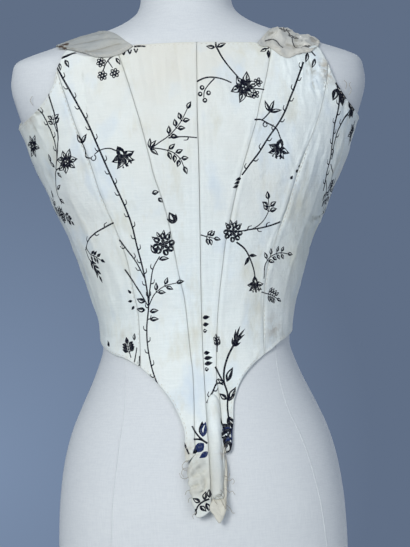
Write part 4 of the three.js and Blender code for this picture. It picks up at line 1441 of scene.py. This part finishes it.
def clear_of(points, marks, distance):
    if not len(marks):
        return points
    taken = set(map(tuple, np.floor(marks / distance).astype(int)))
    taken |= {(i + a, j + b) for i, j in taken for a in (-1, 0, 1) for b in (-1, 0, 1)}
    keys = np.floor(points / distance).astype(int)
    return points[[tuple(key) not in taken for key in keys]]


def outer_net(outline, drawing, spacing):
    marks, faces, tones = near_shapes(drawing, outline)
    net = clear_of(net_points(outline, spacing, EDGE_ROWS[-1] + 0.5), marks, INK_CLEAR)
    rows = [clear_of(inset_row(outline, d), marks, 0.25) for d in EDGE_ROWS]
    points = np.concatenate([outline, *rows, net, marks])
    first_mark = len(points) - len(marks)
    shapes = [list(range(len(outline)))] + [[i + first_mark for i in face] for face in faces]
    cut = delaunay_2d_cdt([Vector(p) for p in points], [], shapes, 1, 0.004)
    triangles, tone = [], []
    for corners, origins in zip(cut[2], cut[5]):
        if 0 in origins:
            triangles.append(corners)
            last = max(origins)
            tone.append(tones[last - 1] if last else BARE)
    return np.array([list(p) for p in cut[0]]), triangles, tone


def rim_loop(triangles):
    """The corners of a net's rim, in order."""
    follows = {}
    for a, b, c in triangles:
        for edge in ((a, b), (b, c), (c, a)):
            follows[edge[0], edge[1]] = True
    ahead = {a: b for a, b in follows if (b, a) not in follows}
    start = next(iter(ahead))
    loop = [start]
    while ahead[loop[-1]] != start:
        loop.append(ahead[loop[-1]])
    return loop


def inner_net(points, loop):
    """A coarser net inside the same rim, its triangles numbered after the outer net's points."""
    rim = points[loop]
    extra = net_points(rim, INNER_NET, INNER_NET * 0.5)
    corners = [Vector(p) for p in np.concatenate([rim, extra])]
    cut = delaunay_2d_cdt(corners, [], [list(range(len(rim)))], 1, 1e-5)
    names = []
    for k, origins in enumerate(cut[3]):
        rim_corner = [i for i in origins if i < len(rim)]
        names.append(loop[rim_corner[0]] if rim_corner else len(points) + k)
    triangles = [[names[i] for i in reversed(corners)] for corners in cut[2]]
    return np.array([list(p) for p in cut[0]]), triangles


print("Nets ready")

# %% Sewing a cut piece into a mesh
def cut_cloth(name, outline, lay, drawing, relief, material, spacing=2.2, wall=WALL):
    """A closed thin shell. lay(points, depth) puts chart points on the body, depth over the inner face."""
    outline = dense(np.asarray(outline, float))
    flat, triangles, tones = outer_net(outline, drawing, spacing)
    loop = rim_loop(triangles)
    inner, inner_triangles = inner_net(flat, loop)
    far, _ = path_distance(flat, outline, True)
    raised = relief(flat)
    roll = np.sqrt(np.clip(1 - (1 - np.clip(far / EDGE_ROLL, 0, 1)) ** 2, 0, 1))
    depth = wall * mix(EDGE_LEVEL, 1.0, roll) + raised * ease(far, 0.0, 2.5)
    least = LEAST_WALL * wall * ease(far, 0, 0.5)
    places = np.concatenate([lay(flat, np.maximum(depth, least)), lay(inner, np.zeros(len(inner)))])
    corners = np.array(triangles + inner_triangles)
    a, b, c = (places[corners[:, i]] for i in range(3))
    if np.einsum("ij,ij->i", a, np.cross(b, c)).sum() < 0:
        corners = corners[:, ::-1]
    used, renamed = np.unique(corners, return_inverse=True)
    mesh = bpy.data.meshes.new(name)
    mesh.from_pydata((places[used] * MM).tolist(), [], renamed.reshape(-1, 3).tolist())
    chart = np.concatenate([flat, inner])[corners.ravel()] * MM
    mesh.uv_layers.new(name="chart").data.foreach_set("uv", chart.astype(np.float32).ravel())
    tone = np.repeat(np.array(tones + [BARE] * len(inner_triangles)), 3)
    # The ink attribute's blue: a darker tint along every edge, and painted shade in the deep troughs
    edge_tint_and_fold_shade = EDGE_TINT * (1 - ease(far, 0.2, 2.0)) + FOLD_SHADE * ease(-raised, FOLD_SHADE_FROM, FOLD_SHADE_FULL)
    edge_tint_and_fold_shade = np.concatenate([np.minimum(edge_tint_and_fold_shade, 1), np.zeros(len(inner))])[corners.ravel()]
    colours = np.stack([tone > BARE, tone == BLUE, edge_tint_and_fold_shade, np.ones(len(tone))], axis=1).astype(np.float32)
    ink = mesh.attributes.new("ink", "FLOAT_COLOR", "CORNER")
    ink.data.foreach_set("color", colours.ravel())
    mesh.polygons.foreach_set("use_smooth", np.ones(len(mesh.polygons), bool))
    mesh.materials.append(material)
    mesh.validate()
    piece = bpy.data.objects.new(name, mesh)
    bpy.context.scene.collection.objects.link(piece)
    outer = places[np.array(triangles)]
    area = np.linalg.norm(np.cross(outer[:, 1] - outer[:, 0], outer[:, 2] - outer[:, 0]), axis=1).sum() / 2
    return piece, outline, area


def declare_cloth(piece, outline, area, node):
    """The cut that the piece had before it was sewn: its width, its length and its flat area."""
    width, height = np.ptp(outline, axis=0)
    stretch = area / signed_area(outline)
    length = height * stretch
    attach(piece, "root")
    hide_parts(node)
    length * MM
    area * MM * MM
    faces = len(piece.data.polygons)
    print(f"{node}: cut {width:.0f} x {length:.0f} mm, {area / 100:.0f} cm2, {faces} faces")


print("Cloth can be cut and laid")

# %% [markdown]
# Six panels make the bodice: two narrow centre backs that run down into the tail, two side backs with
# a tongue each, and two fronts that go under the arms. Neighbours share one seam line and keep a hair's
# breadth on each side of it, so the rolled edges leave a fine sunk line, as a pressed seam does. The
# necklines, armholes and hems are soft lines through a few measured points.

# %% Outlines of the centre backs
BACK_TOP = [[0, 665], [18, 665], [36, 664.5], [54, 664], [72, 663], [80, 660], [88, 657]]
TAIL_EDGE = {
    "left": [[17, 147.5], [18.8, 151], [18.2, 155], [20.6, 160], [21.6, 165], [20.8, 169], [23.4, 174],
             [22.4, 178], [24.6, 183], [23.6, 188], [25.2, 193], [23.8, 199], [20.4, 206], [15.6, 212.5]],
    "right": [[12.8, 166], [13.6, 176], [15.0, 188], [16.6, 200]],
}
TAIL_END = {
    "left": [[0.15, 153.5], [5, 150.5], [11, 147.2]],
    "right": [[0.15, 166], [8, 165]],
}
TONGUE_END = {"left": 213, "right": 213}
SEAM_1_TOP, SEAM_2_TOP = 657, 641
NECK_TOP = 665


def seam_points(read, low, high, shift, step=4.0):
    heights = np.linspace(low, high, int((high - low) / step) + 2)
    return np.stack([read(heights) + shift, heights], axis=1)


def refitted(rows, first, last):
    """Rows of out and height, stretched so that they run from one seam to the other."""
    rows = np.array(rows, float)
    share = (rows[:, 0] - rows[0, 0]) / (rows[-1, 0] - rows[0, 0])
    return np.stack([mix(first, last, share), rows[:, 1]], axis=1)


def centre_back_outline(side):
    sign = -1 if side == "left" else 1

    def centre(height):
        return sign * CENTRE_SEAM(height) + SEAM_GAP / 2

    outer = SEAM_1[side]
    tail = np.array(TAIL_END[side] + TAIL_EDGE[side], float)
    seam = seam_points(outer, TONGUE_END[side], SEAM_1_TOP, -SEAM_GAP / 2)
    top = refitted(BACK_TOP, centre(NECK_TOP), outer(SEAM_1_TOP) - SEAM_GAP / 2)
    middle = seam_points(centre, tail[0, 1], NECK_TOP, 0.0, 12.0)
    points = np.concatenate([soft_path(tail, 2.0), seam, soft_path(top, 3.0)[::-1][1:], middle[::-1][1:-1]])
    return points * [sign, 1]


lowest = {side: min(row[1] for row in rows) for side, rows in TAIL_END.items()}
print("The tail's lower ends are at heights", lowest)

# %% Outlines of the side backs and the fronts
SIDE_BACK_TOP = [[88, 657], [103, 653.5], [118, 652.5], [131, 655], [140, 660], [146.5, 661], [152, 651],
                 [157, 641]]
SIDE_BACK_HEM = {
    "left": [[15, 213], [22, 206.5], [25, 204.5], [26.5, 214], [26, 238], [34.5, 262], [45, 280], [57, 294],
             [72, 307]],
    "right": [[17, 213], [19.5, 213], [28.5, 240], [33, 271], [43, 291], [57, 305.5], [74, 317]],
}
SEAM_2_END = {"left": 307, "right": 317}
FRONT_TOP = [
    [0, 641], [0.03, 623], [0.08, 606], [0.15, 592], [0.23, 585], [0.31, 585], [0.385, 593], [0.445, 608],
    [0.49, 627], [0.525, 648], [0.6, 648], [0.675, 648], [0.75, 648], [0.785, 622], [0.83, 594], [0.9, 574],
    [1, 566],
]
FRONT_POINT = [[0.6, 338.5], [0.67, 333], [0.74, 325], [0.8, 316], [0.86, 305], [0.91, 295.5], [0.96, 287],
               [1, 282]]
NECK_SHARE, ARM_SHARE = 0.75, 0.525  # where a strap's two sides meet the front's upper edge
FRONT_HEM = {
    "left": [[0, 307], [0.05, 313.5], [0.1, 318], [0.16, 321], [0.23, 327], [0.31, 333.5], [0.39, 338],
             [0.46, 340], [0.53, 340]] + FRONT_POINT,
    "right": [[0, 317], [0.05, 322.5], [0.1, 329.5], [0.16, 334], [0.23, 338.5], [0.31, 341.5], [0.39, 343],
              [0.46, 343], [0.53, 341.5]] + FRONT_POINT,
}
SHARE_WIDTH = 300  # about the width of a front, to draw its edges in even steps


def side_back_outline(side):
    sign = -1 if side == "left" else 1
    near, far = SEAM_1[side], SEAM_2[side]
    tongue, gap = TONGUE_END[side], SEAM_GAP / 2
    hem = refitted(SIDE_BACK_HEM[side], near(tongue) + gap, far(SEAM_2_END[side]) - gap)
    top = refitted(SIDE_BACK_TOP, near(SEAM_1_TOP) + gap, far(SEAM_2_TOP) - gap)
    first = seam_points(near, tongue, SEAM_1_TOP, gap)
    second = seam_points(far, SEAM_2_END[side], SEAM_2_TOP, -gap)
    upper = soft_path(top, 2.5)[::-1]
    points = np.concatenate([soft_path(hem, 2.0), second[1:], upper[1:], first[::-1][1:-1]])
    return points * [sign, 1]


def front_edge(side, rows, step):
    rows = np.array(rows, float) * [SHARE_WIDTH, 1]
    path = soft_path(rows, step)
    return np.stack([front_out(side, path[:, 0] / SHARE_WIDTH, path[:, 1]), path[:, 1]], axis=1)


def front_outline(side):
    sign = -1 if side == "left" else 1
    neck = [row for row in FRONT_TOP if row[0] >= NECK_SHARE]
    shoulder = [row for row in FRONT_TOP if ARM_SHARE <= row[0] <= NECK_SHARE]
    armhole = [row for row in FRONT_TOP if row[0] <= ARM_SHARE]
    hem = front_edge(side, FRONT_HEM[side], 2.5)
    heights = np.linspace(FRONT_HEM[side][-1][1], FRONT_TOP[-1][1], 60)
    centre = np.stack([front_out(side, 1.0, heights), heights], axis=1)
    first = seam_points(SEAM_2[side], SEAM_2_END[side], SEAM_2_TOP, SEAM_GAP / 2)
    top = [front_edge(side, rows, 2.5)[::-1][1:] for rows in (neck, shoulder, armhole)]
    points = np.concatenate([hem, centre[1:], *top, first[::-1][1:-1]])
    return points * [sign, 1]


def lay_on_body(points, depth):
    return laid_on(points[:, 0], points[:, 1], CLEARANCE + depth)


print("Hem of the left side back ends at", SIDE_BACK_HEM["left"][-1])

# %% Cut and lay the six panels
BACK_NET, SIDE_BACK_NET, FRONT_NET = 1.6, 1.7, 2.5  # spacing of the points
for side in ("left", "right"):
    for node, outline, spacing in (
            (f"back_{side}", centre_back_outline(side), BACK_NET),
            (f"side_back_{side}", side_back_outline(side), SIDE_BACK_NET),
            (f"front_{side}", front_outline(side), FRONT_NET)):
        piece, edge_line, area = cut_cloth(f"cloth_{node}", outline, lay_on_body, bodice_print, bodice_relief,
                                           printed_linen, spacing)
        declare_cloth(piece, edge_line, area, node)

# %% [markdown]
# Each shoulder strap is a wide short band. It is sewn to the upper edges of the back panels, goes over
# the shoulder and ends on the front. Its own chart is the band laid flat: across from the neck side
# to the arm side, and along from the back to the front. To lay it, a ray goes from a line inside the
# shoulder through each point, and where it leaves the form, the band touches down. The left band has
# fine slanting folds. The right one is crumpled, with a deep dent, and carries a bit of the print.

# %% Where a strap lies
STRAP_WIDTH, STRAP_LENGTH = 78.0, 120.0
STRAP_LINES = read_table(["share", "seam_out", "seam_height", "ridge_out"], [
    [0, 72, 663, 98], [1 / 6, 80, 660, 104], [2 / 6, 88, 657, 110], [3 / 6, 103, 653.5, 121],
    [4 / 6, 118, 652.5, 132], [5 / 6, 133, 654, 143], [1, 147, 657.5, 154],
])
STRAP_FRONT_HEIGHT = 648
PIVOT_HEIGHT = 600
REACHES, HALVINGS = (10.0, 160.0), 32
STRAP_LIES = 1.0  # from the form to the strap's underside
STRAP_WALL, STRAP_NET = 1.2, 1.8


def strap_seam(side, out):
    centre = (-1 if side == "left" else 1) * CENTRE_SEAM(NECK_TOP)
    return np.interp(out, [0, 88, 157], [centre, SEAM_1[side](SEAM_1_TOP), SEAM_2[side](SEAM_2_TOP)])


def on_rays(x, angle):
    near, far = np.full(len(x), REACHES[0]), np.full(len(x), REACHES[1])
    for _ in range(HALVINGS):
        reach = (near + far) / 2
        points = np.stack([x, -reach * np.cos(angle), PIVOT_HEIGHT + reach * np.sin(angle)], axis=1)
        within = fullness(points) < 1
        near, far = np.where(within, reach, near), np.where(within, far, reach)
    return points


def lay_strap(side):
    sign = -1 if side == "left" else 1

    def lay(points, depth):
        share, passed = points[:, 0] / STRAP_WIDTH, points[:, 1] / STRAP_LENGTH
        back_height = STRAP_LINES["seam_height"](share)
        back_out = sign * strap_seam(side, STRAP_LINES["seam_out"](share))
        back = section_point(back_height, turn_at(back_out, back_height))
        end_height = np.full(len(share), float(STRAP_FRONT_HEIGHT))
        end_out = sign * front_out(side, mix(NECK_SHARE, ARM_SHARE, share), end_height)
        end = section_point(end_height, turn_at(end_out, end_height))
        swing = [np.arctan2(p[:, 2] - PIVOT_HEIGHT, -p[:, 1]) for p in (back, end)]
        ridge = 2 * sign * STRAP_LINES["ridge_out"](share) - (back[:, 0] + end[:, 0]) / 2
        x = (1 - passed) ** 2 * back[:, 0] + 2 * passed * (1 - passed) * ridge + passed ** 2 * end[:, 0]
        surface = on_rays(x, mix(swing[0], swing[1], passed))
        over_seam = (WALL + 1.0) * (1 - ease(passed, -0.01, 0.07))
        lift = STRAP_LIES + over_seam + depth
        return surface + outwards(surface) * lift[:, None]

    return lay


print("Straps can be laid")

# %% The straps' folds, print and outlines
STRAP_RIPPLES = {
    "left": [(21, 78, 0.4, 0.30), (12, 64, 2.2, 0.22), (7.5, 84, 4.0, 0.12)],
    "right": [(26, 20, 0.2, 0.80), (17, 75, 2.9, 0.60), (11, 130, 1.1, 0.42), (7, 50, 5.0, 0.25)],
}
STRAP_CREASES = {
    # line across and along, half width, rise
    "left": [
        ([(2, 6), (22, 13), (45, 17), (66, 22)], 1.7, 0.9), ([(2, 4), (24, 8), (44, 8), (60, 6)], 1.1, -1.6),
        ([(3, 12), (20, 24), (40, 32), (62, 36)], 1.8, 0.9),
        ([(4, 18), (20, 32), (38, 42), (58, 47)], 1.2, -1.7),
        ([(1, 9), (24, 18), (48, 24), (70, 27)], 1.0, -1.5),
        ([(30, 1), (46, 4), (60, 12), (70, 20)], 1.0, -1.3),
        ([(4, 26), (22, 44), (44, 56), (66, 60)], 2.2, 0.9), ([(8, 60), (30, 68), (52, 70)], 2.0, 0.8),
        ([(6, 84), (32, 92), (60, 90)], 2.2, 0.8), ([(64, 4), (70, 12), (74, 22)], 2.2, 1.1),
        ([(60, 2), (64, 14), (70, 28)], 1.1, -1.3),
    ],
    "right": [
        ([(26, 8), (28, 26), (30, 50), (30, 80)], 9.0, 2.6),
        ([(50, 2), (47, 18), (44, 36), (40, 56)], 2.6, -2.4),
        ([(62, 4), (60, 22), (58, 40), (58, 66)], 6.0, 1.8), ([(8, 6), (14, 20), (17, 40)], 2.6, -1.0),
        ([(38, 3), (34, 12), (27, 18), (18, 18)], 2.0, 1.1), ([(54, 12), (64, 15), (73, 13)], 2.0, -1.0),
        ([(52, 22), (64, 27), (75, 26)], 2.4, 1.1), ([(20, 28), (32, 33), (44, 30)], 1.8, -0.8),
        ([(70, 4), (72, 20), (70, 44)], 2.2, -0.9), ([(6, 90), (32, 96), (60, 92)], 2.6, 1.0),
        ([(14, 3), (20, 12), (24, 24)], 1.0, -1.7), ([(56, 4), (52, 14), (56, 26)], 1.0, -1.8),
        ([(36, 10), (46, 8), (56, 12), (66, 8)], 1.0, -1.6), ([(8, 12), (18, 22), (30, 22)], 1.0, -1.5),
    ],
}
STRAP_CREASED = 1.3  # of every fold
STRAP_OUTLINES = {
    "left": [(0, -1.5), (9, -3), (24, -4), (38, -3.5), (50, -1), (58, 5), (65, 11), (72, 15), (77, 17),
             (75, 34), (73.5, 60), (75, 92), (78, 118.5), (0, 118.5), (3, 92), (6, 62), (5.5, 36), (3, 14)],
    "right": [(0, -1), (10, -2.5), (22, -1), (30, -2.5), (40, -6), (47, -7), (52, -4), (60, -2.5), (70, -3),
              (76, 2), (77, 20), (74, 44), (75, 92), (78, 118.5), (0, 118.5), (3, 92), (7, 62), (5, 36),
              (3, 14)],
}


def strap_relief(side):
    def relief(points):
        lines = STRAP_CREASED * crease_relief(points, STRAP_CREASES[side])
        return lines + ripple(points, STRAP_RIPPLES[side])

    return relief


def draw_strap(d):
    spray(d, [(30, 30), (26, 42), (19, 54)], 2, 8, 4.6, 60)
    stem(d, [(29, 34), (38, 26), (44, 14), (50, 6), (60, 6)], 1.0)
    leaf(d, (58, 6), 12, 9, 4)
    for x, y, heading in [(31, 32, 40), (30, 31, 175), (33, 28, 205), (36, 26, -30), (40, 23, 10)]:
        leaf(d, (x, y), heading, 8, 4.2)
    stem(d, [(10, 4), (18, 9), (28, 8), (37, 1)], 1.3)


SHARP_FOLD = 3  # a fold with a smaller half width is also drawn as a bare ribbon, for the net's sake
strap_prints = {"left": Drawing(), "right": Drawing()}
for side, drawing in strap_prints.items():
    for line, half_width, _ in STRAP_CREASES[side]:
        if half_width < SHARP_FOLD:
            drawing.ribbon(soft_path(line), 1.2 * half_width, tone=BARE)
draw_strap(strap_prints["right"])
for side, drawing in strap_prints.items():
    outline = soft_path(np.array(STRAP_OUTLINES[side] + STRAP_OUTLINES[side][:1], float), 2.0)[:-1]
    piece, edge_line, area = cut_cloth(f"cloth_strap_{side}", outline, lay_strap(side), drawing,
                                       strap_relief(side), plain_linen, STRAP_NET, STRAP_WALL)
    declare_cloth(piece, edge_line, area, f"strap_{side}")

# %% [markdown]
# On the right of the tail the cloth is gathered into one raised tuck, rounded along its length and
# closed at its upper end. Below it and beside it, the lining shows: a strip along the right edge, and a
# flap at the tip, folded back over itself.

# %% Tuck and lining of the tail
TUCK = {"inner": 1.0, "outer": 15.2, "bottom": 168, "top": 276, "crown": 3.4}
TUCK["lies"] = CLEARANCE + WALL + 0.5
TUCK_TIP = 14
TUCK_WALL, TAIL_NET = 1.0, 1.4
TUCK_RIPPLES = [(23, 86, 0.6, 0.25), (9, 70, 2.0, 0.16), (6, 20, 3.0, 0.10)]
TUCK_CREASES = [([(5, 172), (6, 178), (5, 188)], 1.4, -0.8), ([(11, 170), (10, 178), (11, 186)], 1.2, -0.6)]
LINING_ROWS = [
    # height, inner edge, outer edge
    [140.5, 7.0, 8.6], [145, 3.8, 12.0], [150.5, 0.6, 14.6], [153, -1.2, 15.6], [156.5, -2.6, 15.4],
    [160, -1.4, 15.8], [164, 0.4, 16.8], [180, 0.5, 18], [205, 0.5, 18.8], [211, 0.5, 17],
]
LINING_LIES, LINING_WALL = CLEARANCE - 1.7, 1.2
FLAP_FROM, FLAP_FULL, FLAP_RISE = 165.5, 161, 3.5
FLAP_CREASES = [
    ([(-1, 158), (5, 155), (9, 149), (9, 143)], 1.1, 1.3), ([(2, 161), (8, 157), (11, 149)], 0.9, -1.0),
    ([(15, 161), (13.5, 154), (11, 147)], 1.1, 1.1), ([(-1, 153.5), (4, 151), (7, 146)], 0.8, -0.9),
    ([(16, 200), (15.5, 184), (15.8, 168)], 0.9, 0.5),
]


def tuck_outline():
    inner, outer = TUCK["inner"], TUCK["outer"]
    bottom, top = TUCK["bottom"], TUCK["top"]
    middle, half = (inner + outer) / 2, (outer - inner) / 2
    turns = np.linspace(0, math.pi, 13)
    tip = np.stack([middle + half * np.cos(turns), top - TUCK_TIP + TUCK_TIP * np.sin(turns)], axis=1)
    foot = [(inner, bottom), (inner + 3, bottom - 2), (inner + 5, bottom + 0.5), (inner + 8, bottom - 0.5),
            (outer - 3, bottom + 4), (outer - 2, bottom + 12), (outer - 0.6, bottom + 45)]
    foot = soft_path(foot, 1.5)
    return np.concatenate([foot, tip])


def tuck_relief(points):
    share = (points[:, 0] - TUCK["inner"]) / (TUCK["outer"] - TUCK["inner"])
    opened = mix(0.3, 1.0, np.sqrt(np.clip((TUCK["top"] - points[:, 1]) / TUCK_TIP, 0, 1)))
    bulge = TUCK["crown"] * np.sin(math.pi * np.clip(share, 0, 1)) ** 0.8 * opened
    return bulge + ripple(points, TUCK_RIPPLES) + crease_relief(points, TUCK_CREASES)


def lay_tuck(points, depth):
    return laid_on(points[:, 0], points[:, 1], TUCK["lies"] + depth)


def lining_outline():
    rows = np.array(LINING_ROWS)
    outer = soft_path(rows[:, [2, 0]], 1.5)
    inner = soft_path(rows[:, [1, 0]], 1.5)
    return np.concatenate([outer, inner[::-1]])


def lay_lining(points, depth):
    folded = 1 - ease(points[:, 1], FLAP_FULL, FLAP_FROM)
    return laid_on(points[:, 0], points[:, 1], LINING_LIES + FLAP_RISE * folded + depth)


def lining_relief(points):
    return crease_relief(points, FLAP_CREASES) + 0.5 * ripple(points, TAIL_RIPPLES)


tuck, edge_line, area = cut_cloth("cloth_tail_pleat", tuck_outline(), lay_tuck, Drawing(), tuck_relief,
                                  printed_linen, TAIL_NET, TUCK_WALL)
declare_cloth(tuck, edge_line, area, "tail_pleat")
lining, edge_line, area = cut_cloth("cloth_tail_lining", lining_outline(), lay_lining, Drawing(),
                                    lining_relief, plain_linen, TAIL_NET, LINING_WALL)
declare_cloth(lining, edge_line, area, "tail_lining")

# %% [markdown]
# The form's jersey cover is sewn from a few pieces. A narrow raised seam runs down each side of the
# back below the bodice, and another rings the foot of the neck. Each is a long thin tube that is sunk
# half way into the surface.

# %% Seams of the form's cover
COVER_SEAM_RADIUS = 0.4
TUBE_SIDES = 6
COVER_SEAMS = {
    # turn from the centre back in degrees, height
    "left": [(-52, 330), (-46, 300), (-40, 262), (-38, 220), (-38, 150), (-38, 60), (-37, 4)],
    "right": [(52, 330), (46, 300), (42, 262), (44, 220), (48, 150), (52, 60), (53, 4)],
}
NECK_SEAM_HEIGHT = 715


def tube(path, radius, closed=False, sides=TUBE_SIDES):
    """Corners and faces of a thin tube along a line in millimetres."""
    path = np.asarray(path, float)
    ahead = np.roll(path, -1, axis=0) - np.roll(path, 1, axis=0) if closed else np.gradient(path, axis=0)
    ahead /= np.maximum(np.linalg.norm(ahead, axis=1, keepdims=True), 1e-9)
    side = np.cross(ahead, [0.31, 0.17, 0.94])
    side /= np.linalg.norm(side, axis=1, keepdims=True)
    other = np.cross(ahead, side)
    turns = np.linspace(0, 2 * math.pi, sides, endpoint=False)
    rings = [path + radius * (math.cos(t) * side + math.sin(t) * other) for t in turns]
    corners = np.stack(rings, axis=1).reshape(-1, 3)
    count = len(path)
    faces = []
    for i in range(count if closed else count - 1):
        a, b = i * sides, ((i + 1) % count) * sides
        faces.extend([a + k, a + (k + 1) % sides, b + (k + 1) % sides, b + k] for k in range(sides))
    if not closed:
        faces.append(list(range(sides))[::-1])
        faces.append([(count - 1) * sides + k for k in range(sides)])
    return corners, faces


def join_tubes(name, tubes, material):
    """One piece from many thin tubes."""
    corners, faces, start = [], [], 0
    for points, sides in tubes:
        corners.append(points)
        faces.extend([[i + start for i in face] for face in sides])
        start += len(points)
    mesh = bpy.data.meshes.new(name)
    mesh.from_pydata((np.concatenate(corners) * MM).tolist(), [], faces)
    mesh.polygons.foreach_set("use_smooth", np.ones(len(mesh.polygons), bool))
    mesh.materials.append(material)
    piece = bpy.data.objects.new(name, mesh)
    bpy.context.scene.collection.objects.link(piece)
    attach(piece, "root")
    print(name, len(mesh.polygons), "faces")
    return piece


def cover_seam_paths():
    paths = []
    for rows in COVER_SEAMS.values():
        rows = soft_path(np.array(rows, float), 8.0)
        paths.append((section_point(rows[:, 1], np.radians(rows[:, 0])), False))
    turns = np.linspace(-math.pi, math.pi, 120, endpoint=False)
    paths.append((section_point(np.full(len(turns), float(NECK_SEAM_HEIGHT)), turns), True))
    return paths


join_tubes("cover_seams", [tube(path, COVER_SEAM_RADIUS, closed) for path, closed in cover_seam_paths()],
           jersey)

# %% [markdown]
# Small stitches of linen thread run along the neckline, the armholes, the hems, the second seams and
# the straps' lower edges, about five millimetres apart. Each is a short tube, sunk at both
# ends. They are laid through the same functions as the cloth, a little above its face, so they follow
# each fold. All of them are joined into one piece.

# %% Stitches
STITCH_STEP, STITCH_LENGTH, STITCH_RADIUS = 5.2, 2.4, 0.26
STITCH_HEIGHT = 0.05  # of a stitch's middle over the cloth


def along(path, step, inset):
    """Places and headings in even steps along a line, moved to its left."""
    lengths = np.concatenate([[0], np.cumsum(np.linalg.norm(np.diff(path, axis=0), axis=1))])
    where = np.arange(step, lengths[-1] - step / 2, step)
    places = np.stack([np.interp(where, lengths, path[:, i]) for i in (0, 1)], axis=1)
    ahead = np.stack([np.interp(where + 0.8, lengths, path[:, i]) for i in (0, 1)], axis=1) - places
    ahead /= np.linalg.norm(ahead, axis=1, keepdims=True)
    inward = np.stack([-ahead[:, 1], ahead[:, 0]], axis=1)
    return places + inward * inset, ahead


def stitches(path, lay, relief, wall, inset=2.6, step=STITCH_STEP, slant=0.0):
    path = np.asarray(path, float)
    places, ahead = along(path, step, inset)
    turn = np.array([[math.cos(slant), -math.sin(slant)], [math.sin(slant), math.cos(slant)]])
    ahead = ahead @ turn.T
    made = []
    rows = [places + ahead * STITCH_LENGTH * share for share in (-0.5, -0.25, 0.25, 0.5)]
    sunk = [-0.35, 0.0, 0.0, -0.35]
    laid = [lay(row, wall + relief(row) + STITCH_HEIGHT + s) for row, s in zip(rows, sunk)]
    for k in range(len(places)):
        made.append(tube([row[k] for row in laid], STITCH_RADIUS, sides=5))
    return made


def panel_stitches():
    made = []
    for side, sign in (("left", -1), ("right", 1)):
        mirror = np.array([sign, 1])
        top = refitted(BACK_TOP, sign * CENTRE_SEAM(NECK_TOP), SEAM_1[side](SEAM_1_TOP))
        neckline = soft_path(top, 3.0)
        hem = soft_path(np.array(SIDE_BACK_HEM[side][2:], float), 3.0)
        front_hem = front_edge(side, FRONT_HEM[side], 3.0)
        armhole = front_edge(side, [row for row in FRONT_TOP if row[0] <= ARM_SHARE], 3.0)
        neck = front_edge(side, [row for row in FRONT_TOP if row[0] >= NECK_SHARE], 3.0)
        heights = np.arange(330, 630, 3.0)
        second = np.stack([SEAM_2[side](heights), heights], axis=1)
        for path, inset in ((neckline, -sign * 2.4), (hem, sign * 2.4), (front_hem, sign * 2.6),
                            (armhole, -sign * 2.6), (neck, -sign * 2.6), (second, -sign * 1.3)):
            made.extend(stitches(path * mirror, lay_on_body, bodice_relief, WALL, inset))
    return made


def strap_stitches():
    made = []
    for side in ("left", "right"):
        edge = soft_path(np.array(STRAP_OUTLINES[side][:9], float), 2.0)
        made.extend(stitches(edge, lay_strap(side), strap_relief(side), STRAP_WALL, 2.2, 4.4, 0.5))
    return made


join_tubes("stitches", panel_stitches() + strap_stitches(), linen_thread)

# %% [markdown]
# Where the cloth has worn through at the tail, at the tuck's foot and at both armholes, single threads
# stick out. Each is a thin bent tube that starts inside the edge and curls away from it.

# %% Loose threads
THREAD_RADIUS = 0.24
LOOSE_THREADS = [
    # out and height of its points, and how far over the form each lies
    [(-23, 207, 4), (-27, 205, 4.5), (-30, 201, 4), (-28, 197, 3.5), (-25, 197, 3)],
    [(-24, 199, 3), (-29, 198, 4), (-31, 194, 3.6), (-29, 190, 3)],
    [(-23, 190, 3), (-28, 188, 4), (-32, 190, 3), (-33, 194, 2.5)],
    [(-21, 176, 3), (-26, 175, 4), (-28, 171, 3)],
    [(-20, 168, 3), (-24, 167, 4), (-25, 163, 3)],
    [(-17, 152, 3), (-21, 149, 4), (-20, 146, 3)],
    [(16, 186, 3), (21, 184, 4), (24, 186, 3.6), (26, 183, 2.5), (24, 180, 2)],
    [(16, 176, 3), (20, 172, 4), (23, 173, 3), (26, 169, 2)],
    [(15, 160, 3), (20, 155, 4), (23, 150, 3.4), (25, 150, 2.5)],
    [(15, 190, 3), (20, 188, 4), (21, 192, 3.5)],
    [(18, 222, 3), (18.5, 205, 4), (18.2, 190, 4), (18.8, 178, 3)],
    [(186, 606, 3), (188, 612, 4), (185, 617, 4), (188, 620, 3)],
    [(180, 612, 3), (181, 618, 4), (178, 622, 3)],
    [(-190, 603, 3), (-192, 609, 4), (-189, 613, 3)],
    [(5, 169, 7.5), (9, 166, 7.5), (12, 160, 6.6), (15, 155, 6.4)],
    [(7, 171, 8), (11, 169, 7.4), (14, 163, 6.6), (16, 156, 6.2), (17.5, 153, 5.5)],
    [(10, 175, 7.8), (13, 171, 7), (15, 164, 6.4), (16.4, 160, 6)],
    [(2, 168, 7), (3, 164, 7.2), (6, 160, 6.6)],
]


def loose_thread(rows):
    rows = soft_path(np.array(rows, float)[:, :2], 0.8), np.array(rows, float)[:, 2]
    depths = np.interp(np.linspace(0, 1, len(rows[0])), np.linspace(0, 1, len(rows[1])), rows[1])
    return tube(laid_on(rows[0][:, 0], rows[0][:, 1], depths), THREAD_RADIUS, sides=5)


join_tubes("loose_threads", [loose_thread(rows) for rows in LOOSE_THREADS], worn_thread)
print(len(LOOSE_THREADS), "loose threads")
